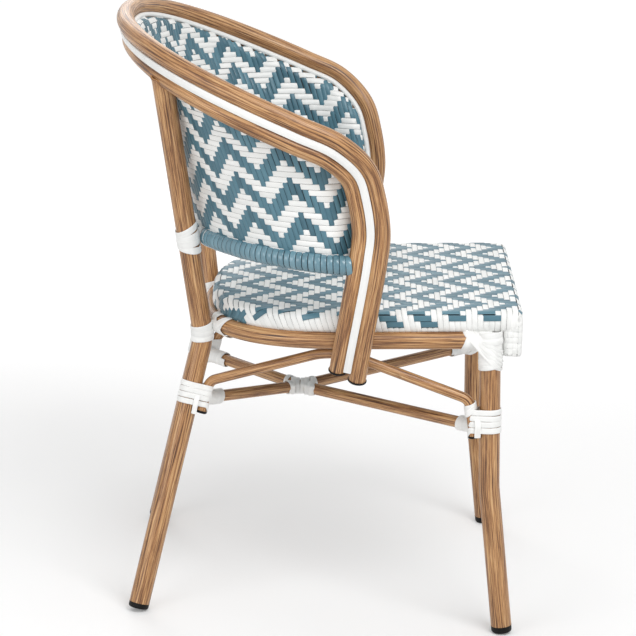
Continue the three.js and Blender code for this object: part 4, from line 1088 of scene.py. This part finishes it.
def add_seat_shade_sheet():
    """A dark sheet of painted shade between the two layers of strands, which closes the weave and darkens its
    gaps.
    """
    wall_end = quarter_roll + wall_height
    pasts = (wrap_reach + 8, wall_end + quarter_roll, wall_end + 0.5 * quarter_roll, wall_end, quarter_roll,
             0.66 * quarter_roll, 0.33 * quarter_roll, 0)
    count = 260
    picks = np.linspace(0, len(outline), count, endpoint=False).astype(int)
    edge, out = outline[picks], outline_out[picks]
    middle = np.array([0, (PANEL_BACK_Y + PANEL_FRONT_Y) / 2])
    plans = [edge + out * (past - SEAT_ROLL) for past in pasts]
    plans += [middle + (edge - out * SEAT_ROLL - middle) * share for share in (0.75, 0.5, 0.25, 0.04)]
    layers = []
    for thickness in (-SHADE_SHEET_HALF, SHADE_SHEET_HALF):
        found = [seat_surface(plan) for plan in plans]
        layers.append([points + normals * thickness for points, normals, _ in found])
    per_layer = len(plans)
    quads = ring_quads(2 * per_layer, count)
    quads = quads[(quads[:, 0] // count) != per_layer - 1]
    ring = np.arange(count)
    beside, last = np.roll(ring, -1), (2 * per_layer - 1) * count
    rim = np.stack([ring, last + ring, last + beside, beside], 1)
    caps = [(ring + (per_layer - 1) * count)[None], (ring + per_layer * count)[None, ::-1]]
    body = np.vstack([*layers[1], *layers[0][::-1]])
    core = Piece()
    core.add(body, [quads, rim, *caps], body * MM, 0.5)
    core.made("seat_shade_sheet", shade_sheet_finish, "seat_weave", "seat_panel")


# ---- Apron ----
APRON_HALF_WIDTH, APRON_CORNER, APRON_ROLL = 203.9, 4.0, 3.5
UPRIGHT_PITCH, RING_PITCH, APRON_LIFT = 6.4, 7.6, 0.5
# How far the uprights go on under the apron, in rolls past the start of its lower edge's roll
UNDER_APRON = (3.6, 2.6, 1.57, 1.2, 0.8, 0.4)


def add_apron():
    """A white basket weave round the apron: uprights that pass under it, and rings round it."""
    piece = Piece()
    back, front = PANEL_FRONT_Y + APRON_DEPTH, PANEL_FRONT_Y
    half, corner, roll, lift = APRON_HALF_WIDTH, APRON_CORNER, APRON_ROLL, APRON_LIFT
    top = seat_height(front) + PANEL_REST + PANEL_HEIGHT
    low = top - APRON_HEIGHT + 2.0
    plan = []
    for x, y, start in ((half, front, -0.5), (half, back, 0), (-half, back, 0.5), (-half, front, 1)):
        turn = math.pi * np.linspace(start, start + 0.5, 9)
        centre = np.array([math.copysign(half - corner, x), y + (corner if y == front else -corner)])
        plan.append(centre + corner * np.stack([np.cos(turn), np.sin(turn)], 1))
    plan = np.vstack([*plan, plan[0][:1]])
    at = lengths(plan)
    pitch = at[-1] / round(at[-1] / UPRIGHT_PITCH)
    uprights = np.arange(0, at[-1] - pitch / 2, pitch)
    rings = np.arange(low + roll + 3, top - 12, RING_PITCH)

    def wall(places, heights):
        places = np.asarray(places) % at[-1]
        spot = between(plan, at, places)
        ahead = unit(between(plan, at, (places + 1) % at[-1]) - spot)
        out = beside_plan(ahead)
        bend = np.clip((low + roll - heights) / roll, 0, 3)
        angle = np.clip(bend, 0, math.pi / 2)
        inset = roll * (1 - np.cos(angle)) + roll * np.clip(bend - math.pi / 2, 0, None)
        z = np.maximum(heights, low + roll) - roll * np.sin(angle)
        point = np.concatenate([spot - out * inset[..., None], z[..., None]], -1)
        normal = np.concatenate([out * np.cos(angle)[..., None], -np.sin(angle)[..., None]], -1)
        return point, unit(normal)

    under = np.array([low + roll - bend * roll for bend in UNDER_APRON])
    heights = np.concatenate([under, floats(rings, FLOAT_SHARE * RING_PITCH), [top - 9, top - 6.3]])
    for k, place in enumerate(uprights):
        signs = np.where((np.arange(len(rings)) + k) % 2 == 0, lift, -lift)
        offsets = np.concatenate([np.full(len(under), lift), np.repeat(signs, 2), [0, -0.6]])
        points, normals = wall(np.full(len(heights), place), heights)
        piece.strand(points + normals * (offsets - lift)[:, None], normals, pitch * SEAT_COVER,
                     STRAND_THICKNESS, rng.uniform(0.1, 0.9))
    places = floats(uprights, FLOAT_SHARE * pitch)
    for i, height in enumerate(rings):
        signs = np.where((i + np.arange(len(uprights))) % 2 == 0, -lift, lift)
        points, normals = wall(places, np.full(len(places), height))
        offsets = np.repeat(signs, 2) - lift
        piece.strand(points + normals * offsets[:, None], normals, RING_PITCH * SEAT_COVER, STRAND_THICKNESS,
                     rng.uniform(0.1, 0.9), closed=True)
    piece.made("front_apron_weave", white_strand, "seat_weave", "front_apron", WEAVE_CREASE)
    # A dark sheet of painted shade inside the apron's weave, which darkens its gaps
    core = Piece()
    inner = plan[:-1]
    centre, halves = np.array([0, (front + back) / 2]), np.array([half, APRON_DEPTH / 2])
    levels = ((3.2, low + 0.8), (1.0, low + 2.6), (0.15, low + roll), (0.15, top - 14), (3.2, top - 9))
    body = np.vstack([
        np.column_stack([(inner - centre) * (1 - inset / halves) + centre, np.full(len(inner), z)])
        for inset, z in levels
    ])
    core.add(body, [ring_quads(len(levels), len(inner)), *end_faces(len(levels), len(inner))], body * MM, 0.5)
    core.made("front_apron_shade_sheet", shade_sheet_finish, "seat_weave", "front_apron")


# ---- Lashings ----
HOOP_STEPS = 56
LASHING_THICKNESS = 1.35
SLEEVE_PITCH, SLEEVE_WIDTH, SLEEVE_THICKNESS = 7.4, 8.4, 1.3
# The tab's points: how far below its start, and how far out from the bands
TAB_DROPS, TAB_BOWS = np.array([2, 8, 14, 18, 22, 27]), np.array([0, 2.4, 2.6, 1.4, 0.3, -0.6])


def hoop(piece, centre, direction, radius, width, lean=(0, 0, 0), swell=0.0):
    """A closed strand round a tube. It rises along the tube towards its lean."""
    angles = np.linspace(0, 2 * math.pi, HOOP_STEPS, endpoint=False)
    first = unit(np.cross(direction, X_AXIS if abs(direction[0]) < 0.7 else UP))
    second = np.cross(direction, first)
    outs = turned(angles, first, second)
    wander = rng.uniform(0.2, 0.5) * np.sin(angles * 2 + rng.uniform(0, 6))
    heights = outs @ np.asarray(lean, float) + wander
    reach = radius + rng.uniform(0, 0.35) + swell
    ring = centre + outs * reach + np.outer(heights, direction)
    piece.strand(ring, outs, width, LASHING_THICKNESS, rng.uniform(0.3, 0.95), closed=True)


def belt(leg_radius, brace_radius, spacing, aside, sideways):
    """A strand's way round a leg and a tube beside it: points from the leg's axis, ways out and angles."""
    count = 44
    tangent = math.acos((leg_radius - brace_radius) / spacing)
    on_brace = np.linspace(-tangent, tangent, count // 3)
    on_leg = np.linspace(tangent, 2 * math.pi - tangent, count)
    outs, points = [], []
    for angles, hub, radius in ((on_brace, spacing, brace_radius), (on_leg, 0, leg_radius)):
        out = turned(angles, aside, sideways)
        outs.append(out)
        points.append(out * radius + aside * hub)
    return np.vstack(points), np.vstack(outs), np.concatenate([on_brace, on_leg])


def add_leg_lashing(name, path, side, middle, pitch):
    """Bands round a leg and the brace's end beside it, parted at the stretcher, and a tab tucked under them."""
    centre, direction = axis_at(flipped(path, side), STRETCHER_HEIGHT)
    rear = path is rear_leg
    tip = flipped(brace, side)[0 if rear else -1]
    spot = brace_at(side, rear, tip[2] + 14)[0]
    hub = axis_at(flipped(path, side), spot[2])[0]
    offset = spot - hub
    aside = unit(offset - direction * (offset @ direction))
    sideways = np.cross(direction, aside)
    spacing = LEG_RADIUS + BRACE_RADIUS + GAP
    inward = CROSSING - centre
    stretcher_angle = math.atan2(inward @ sideways, inward @ aside)
    piece = Piece()
    clear = STRETCHER_RADIUS + 4.5
    points, outs, angles = belt(LEG_RADIUS + GAP, BRACE_RADIUS + GAP, spacing, aside, sideways)
    away = np.cos((angles - stretcher_angle + math.pi) % (2 * math.pi) - math.pi)
    near = np.clip(away, 0, 1) ** 1.5
    for band in range(4):
        level = middle + pitch * (band - 1.5)
        parted = 3 - clear if band == 0 else max(level, clear + (band - 1) * 5.5)
        waver = rng.uniform(-0.7, 0.7) * np.cos(angles + rng.uniform(0, 6))
        heights = level * (1 - near) + parted * near + waver
        ring = centre + points + np.outer(heights, direction) + outs * rng.uniform(0, 0.4)
        width = pitch - 0.35 + rng.uniform(-0.2, 0.3)
        piece.strand(ring, outs, width, LASHING_THICKNESS, rng.uniform(0.4, 0.95), closed=True)
    if not rear:
        for rise, lean in ((middle + pitch * 1.7, 5.0), (middle + pitch * 2.2, 2.5)):
            place, along = brace_at(side, rear, STRETCHER_HEIGHT + rise)
            hoop(piece, place, along, BRACE_RADIUS + GAP, pitch + 0.5, -Y_AXIS * lean)
    outer = np.sign(side * sideways[0]) * sideways
    share, proud, start, width = (0.66, 4.6, middle, 7.2) if rear else (0.86, 2.4, middle + 5, 8.6)
    foot = centre + aside * (spacing * share) + outer * (BRACE_RADIUS + proud)
    tab = foot + np.outer(start - TAB_DROPS, direction) + np.outer(TAB_BOWS, outer)
    piece.strand(tab, np.repeat(outer[None], len(tab), 0), width, 1.3, 0.8)
    piece.made(name, white_strand, "white_strand", crease=LASHING_CREASE)


def brace_at(side, rear, height):
    """The brace's centre and upward direction at a height, near its rear or its front end."""
    path = flipped(brace, side)
    half = path[:len(path) // 2] if rear else path[:len(path) // 2:-1]
    return axis_at(half, height)


def helix(piece, start, direction, radius, turns, phase):
    """A strand wound round a straight tube, one turn after the other."""
    per_turn = 30
    count = int(turns * per_turn)
    along = np.arange(count + 1) / per_turn
    across, out = turning_frames(np.array([start, start + direction]))
    radial = turned(phase + 2 * math.pi * along, out[0], across[0])
    points = start + np.outer(SLEEVE_PITCH * along, direction) + radial * radius
    for turn in range(math.ceil(turns)):
        span = slice(turn * per_turn, min((turn + 1) * per_turn + 3, count + 1))
        if span.stop - span.start < 4:
            continue
        lifted = points[span] + radial[span] * rng.uniform(0, 0.3)
        piece.strand(lifted, radial[span], SLEEVE_WIDTH, SLEEVE_THICKNESS, rng.uniform(0.3, 0.9))


def add_sleeves():
    """A strand wound round each end of the stretchers."""
    for name, side in SIDES:
        for end, path, turns in (("rear", rear_leg, 5.4), ("front", front_leg, 4.5)):
            centre = stretcher_end(path, side)
            direction = unit(CROSSING - centre)
            piece = Piece()
            helix(piece, centre + direction * (LEG_RADIUS + 2), direction, STRETCHER_RADIUS + 1.2, turns,
                  rng.uniform(0, 6))
            piece.made(f"stretcher_sleeve_{end}_{name}", white_strand, "white_strand", crease=LASHING_CREASE)


def add_centre_lashing():
    """Upright loops round the crossing of the stretchers, and one hoop on each arm beside them."""
    piece = Piece()
    # Half the angle between the stretchers, seen from above
    half_angle = math.atan2(257.0, 213.4)
    reach = STRETCHER_RADIUS + 0.6
    angles = np.linspace(0, 2 * math.pi, HOOP_STEPS, endpoint=False)
    for offset in np.linspace(-16, 11, 5):
        wide = abs(offset) / math.tan(half_angle) + reach / math.sin(half_angle)
        flat = np.clip(np.cos(angles) * 1.25, -1, 1)
        slant = rng.uniform(-1.5, 1.5)
        points = np.stack([wide * flat, offset + slant * np.sin(angles), reach * 1.08 * np.sin(angles)], 1)
        outs = np.stack([np.cos(angles) / wide, np.zeros(HOOP_STEPS), np.sin(angles) / reach], 1)
        piece.strand(CROSSING + points, unit(outs), 7.6, 1.4, rng.uniform(0.5, 0.95), closed=True)
    for path, side in ((rear_leg, -1), (rear_leg, 1), (front_leg, -1), (front_leg, 1)):
        direction = unit(stretcher_end(path, side) - CROSSING)
        hoop(piece, CROSSING + direction * 21, direction, STRETCHER_RADIUS + 0.4, 7.4,
             UP * rng.uniform(-3, 3) + Y_AXIS * rng.uniform(-1, 1))
    piece.made("centre_lashing", white_strand, "white_strand", crease=LASHING_CREASE)


def contact_index(curve, path):
    """Which point of a rail comes nearest to a leg's axis."""
    gaps = np.linalg.norm(curve[:, None] - path[None], axis=2)
    return int(np.unravel_index(np.argmin(gaps), gaps.shape)[0])


def add_cross_lashing(name, curve, rail_radius, side, leg_bands, rail_bands):
    """Hoops round a leg and hoops round the rail that crosses it, pressed into each other where both meet."""
    path = flipped(rear_leg, side)
    half = flipped(curve, side)
    half = half[half[:, 0] * side > 0]
    if half[0][1] > half[-1][1]:
        half = half[::-1]
    index = contact_index(half, path)
    piece = Piece()
    for height, lean, width in leg_bands:
        centre, direction = axis_at(path, height)
        hoop(piece, centre, direction, LEG_RADIUS + GAP, width, -Y_AXIS * lean)
    step = np.linalg.norm(half[index] - half[index - 1])
    for shift, lean, width in rail_bands:
        place = int(np.clip(index - round(shift / step), 2, len(half) - 3))
        direction = unit(half[place - 1] - half[place + 1])
        hoop(piece, half[place], direction, rail_radius + GAP, width, UP * lean, swell=0.2)
    piece.made(name, white_strand, "white_strand", crease=LASHING_CREASE)


def hull(points):
    """The convex outline of points in a plane, counter-clockwise."""
    points = sorted(map(tuple, points))

    def half(ordered):
        kept = []
        for q in ordered:
            while len(kept) > 1 and np.cross(np.subtract(kept[-1], kept[-2]), np.subtract(q, kept[-2])) <= 0:
                kept.pop()
            kept.append(q)
        return kept[:-1]
    return np.array(half(points) + half(points[::-1]))


def add_corner_lashing(name, side):
    """Hoops round the leg's top and the seat rail's end, and slanting loops pulled tight over both."""
    piece = Piece()
    path = flipped(front_leg, side)
    for height, lean in zip(np.linspace(372.8, 414.5, 7), np.linspace(3.2, 0.4, 7)):
        centre, direction = axis_at(path, height)
        hoop(piece, centre, direction, LEG_RADIUS + GAP, 8.4, -Y_AXIS * lean)
    top, upward = axis_at(path, 408.0)
    piece.tube(top + np.outer(np.linspace(0, 7.5, 4), upward), LEG_RADIUS - 0.2, 32, 0.6, ends=1.4)
    for y in (-200.5, -208.0, -216.0, -224.0):
        centre = np.array([side * SEAT_HALF_WIDTH, y, seat_height(y)])
        hoop(piece, centre, -Y_AXIS, SEAT_TUBE_RADIUS + GAP, 8.8, UP * 4.5)
    for k in range(6):
        y = -209.0 - 3.8 * k
        on_rail = np.array([SEAT_HALF_WIDTH, y, seat_height(y)])
        on_leg = flipped(axis_at(path, 381.0 + 4.9 * k)[0], side)
        span = (on_leg - on_rail)[1:]
        gap = np.linalg.norm(span)
        along = span / gap
        layer = 1.4 + 0.2 * (k % 3)
        ellipses = []
        for middle, x, radius, share in ((0, SEAT_HALF_WIDTH, SEAT_TUBE_RADIUS, abs(along[1])),
                                         (gap, on_leg[0], LEG_RADIUS, abs(along[0]))):
            reach = np.array([min(radius / share, radius * 1.35), radius]) + layer
            ellipses.append(circle(40) * reach + [middle, x])
        outline = hull(np.vstack(ellipses))
        closed = np.column_stack([np.vstack([outline, outline[:1]]), np.zeros(len(outline) + 1)])
        even = resampled(closed, 81)[:-1, :2]
        out = beside_plan(loop_tangents(even))
        place = lambda v: np.stack([side * v[:, 1], v[:, 0] * along[0], v[:, 0] * along[1]], 1)
        piece.strand(place(even) + [0, on_rail[1], on_rail[2]], place(out), 7.4, LASHING_THICKNESS,
                     rng.uniform(0.4, 0.95), closed=True)
    piece.made(name, white_strand, "white_strand", crease=LASHING_CREASE)


def add_lashings():
    """Bands are (height, lean, width) on a leg, and crosses (shift along it, lean, width) on a rail."""
    seat_bands = ((388.0, 2.0, 9.6), (379.5, 0.5, 9.8), (371.5, 1.5, 9.6))
    seat_crosses = ((17.0, 17.0, 10.0), (17.0, -17.0, 10.0), (3.0, 3.0, 9.5), (10.0, -8.0, 9.5),
                    (24.0, 9.0, 9.5))
    back_bands = ((530.0, 6.0, 10.0), (521.5, 2.0, 10.0), (513.5, 0.0, 10.0), (505.5, -4.5, 10.0))
    back_crosses = ((-9.0, 3.0, 8.5), (0.0, -4.0, 8.5), (9.0, 2.0, 8.5))
    for name, side in SIDES:
        add_leg_lashing(f"leg_lashing_rear_{name}", rear_leg, side, 11.4, 7.7)
        add_leg_lashing(f"leg_lashing_front_{name}", front_leg, side, 13.0, 8.2)
        add_cross_lashing(f"seat_lashing_{name}", seat_rail, SEAT_TUBE_RADIUS, side, seat_bands, seat_crosses)
        add_cross_lashing(f"back_lashing_{name}", wrapped_rail, LOWER_RAIL_RADIUS, side, back_bands,
                          back_crosses)
        add_corner_lashing(f"corner_lashing_{name}", side)
    add_sleeves()
    add_centre_lashing()


# ---- Stage ----
def add_stage():
    """A pale floor whose glow grows with the distance, so that it keeps a soft shadow and fades to white."""
    size = 40.0
    mesh = bpy.data.meshes.new("floor")
    corners = [(-size, -size, 0), (size, -size, 0), (size, size, 0), (-size, size, 0)]
    mesh.from_pydata(corners, [], [(0, 1, 2, 3)])
    floor = bpy.data.objects.new("floor", mesh)
    bpy.context.scene.collection.objects.link(floor)
    finish = Finish("pale_floor", roughness=0.9, base_color=linear(232, 232, 232), specular_ior_level=0.0,
                    emission_color=(1, 1, 1, 1))
    seen = finish.seen()
    distance = finish.node("VectorMath", operation="LENGTH")
    finish.link(finish.node("TexCoord").outputs["Object"], distance.inputs[0])
    spread = finish.node("MapRange", interpolation_type="SMOOTHSTEP", from_min=0.0, from_max=3.4, to_min=0.15,
                         to_max=0.55)
    finish.link(distance.outputs["Value"], spread.inputs["Value"])
    glow = finish.math("MULTIPLY", seen, spread.outputs[0])
    finish.link(glow, finish.shader.inputs["Emission Strength"])
    mesh.materials.append(finish.material)


def add_lights():
    """A white world, dimmer as a light than as it is seen, and three soft lamps."""
    ambient = 0.58
    world = bpy.data.worlds.new("studio")
    bpy.context.scene.world = world
    tree = Tree(world, "Background")
    tree.set(color=(1, 1, 1, 1))
    tree.link(tree.math("MULTIPLY_ADD", tree.seen(), 1 - ambient, ambient), tree.shader.inputs["Strength"])
    middle = Vector((0, 0, 0.45))
    lamps = (("key", (-1.6, -0.9, 2.4), 1.5, 36), ("fill", (-2.2, 1.8, 1.2), 1.6, 18),
             ("far", (2.2, 0.6, 2.0), 1.6, 18))
    for name, place, size, power in lamps:
        lamp = bpy.data.lights.new(name, "AREA")
        lamp.size, lamp.energy = size, power
        holder = bpy.data.objects.new(name, lamp)
        holder.location = place
        holder.rotation_mode = "QUATERNION"
        holder.rotation_quaternion = (middle - Vector(place)).to_track_quat("-Z", "Y")
        bpy.context.scene.collection.objects.link(holder)


def add_camera():
    """The photograph's view: a long lens at the chair's -X side, slightly above it and slightly rolled."""
    elevation, yaw, roll = (math.radians(a) for a in (14.9035, 0.1503, 1.9904))
    focal, frame_pixels, sensor = 2512.46, 636, 36.0
    place = np.array([-3430.6, -9.0, 1287.1]) + CENTRING
    flat = math.cos(elevation)
    forward = np.array([flat * math.cos(yaw), flat * math.sin(yaw), -math.sin(elevation)])
    level = unit(np.cross(forward, UP))
    upright = np.cross(level, forward)
    right = math.cos(roll) * level + math.sin(roll) * upright
    up = -math.sin(roll) * level + math.cos(roll) * upright
    data = bpy.data.cameras.new("camera")
    data.sensor_width, data.lens = sensor, sensor * focal / frame_pixels
    data.clip_start, data.clip_end = 0.1, 100
    camera = bpy.data.objects.new("camera", data)
    turn = np.eye(4)
    turn[:3, 0], turn[:3, 1], turn[:3, 2], turn[:3, 3] = right, up, -forward, place * MM
    camera.matrix_world = Matrix(turn.tolist())
    bpy.context.scene.collection.objects.link(camera)
    bpy.context.scene.camera = camera


for step in (add_camera, add_stage, add_lights, add_rails, add_legs, add_foot_caps, add_seat_frame,
             add_stretchers, add_braces, add_arm_ends, add_lower_rail, add_back, add_seat, add_apron,
             add_lashings):
    step()

bpy.context.scene.view_settings.view_transform = "Standard"
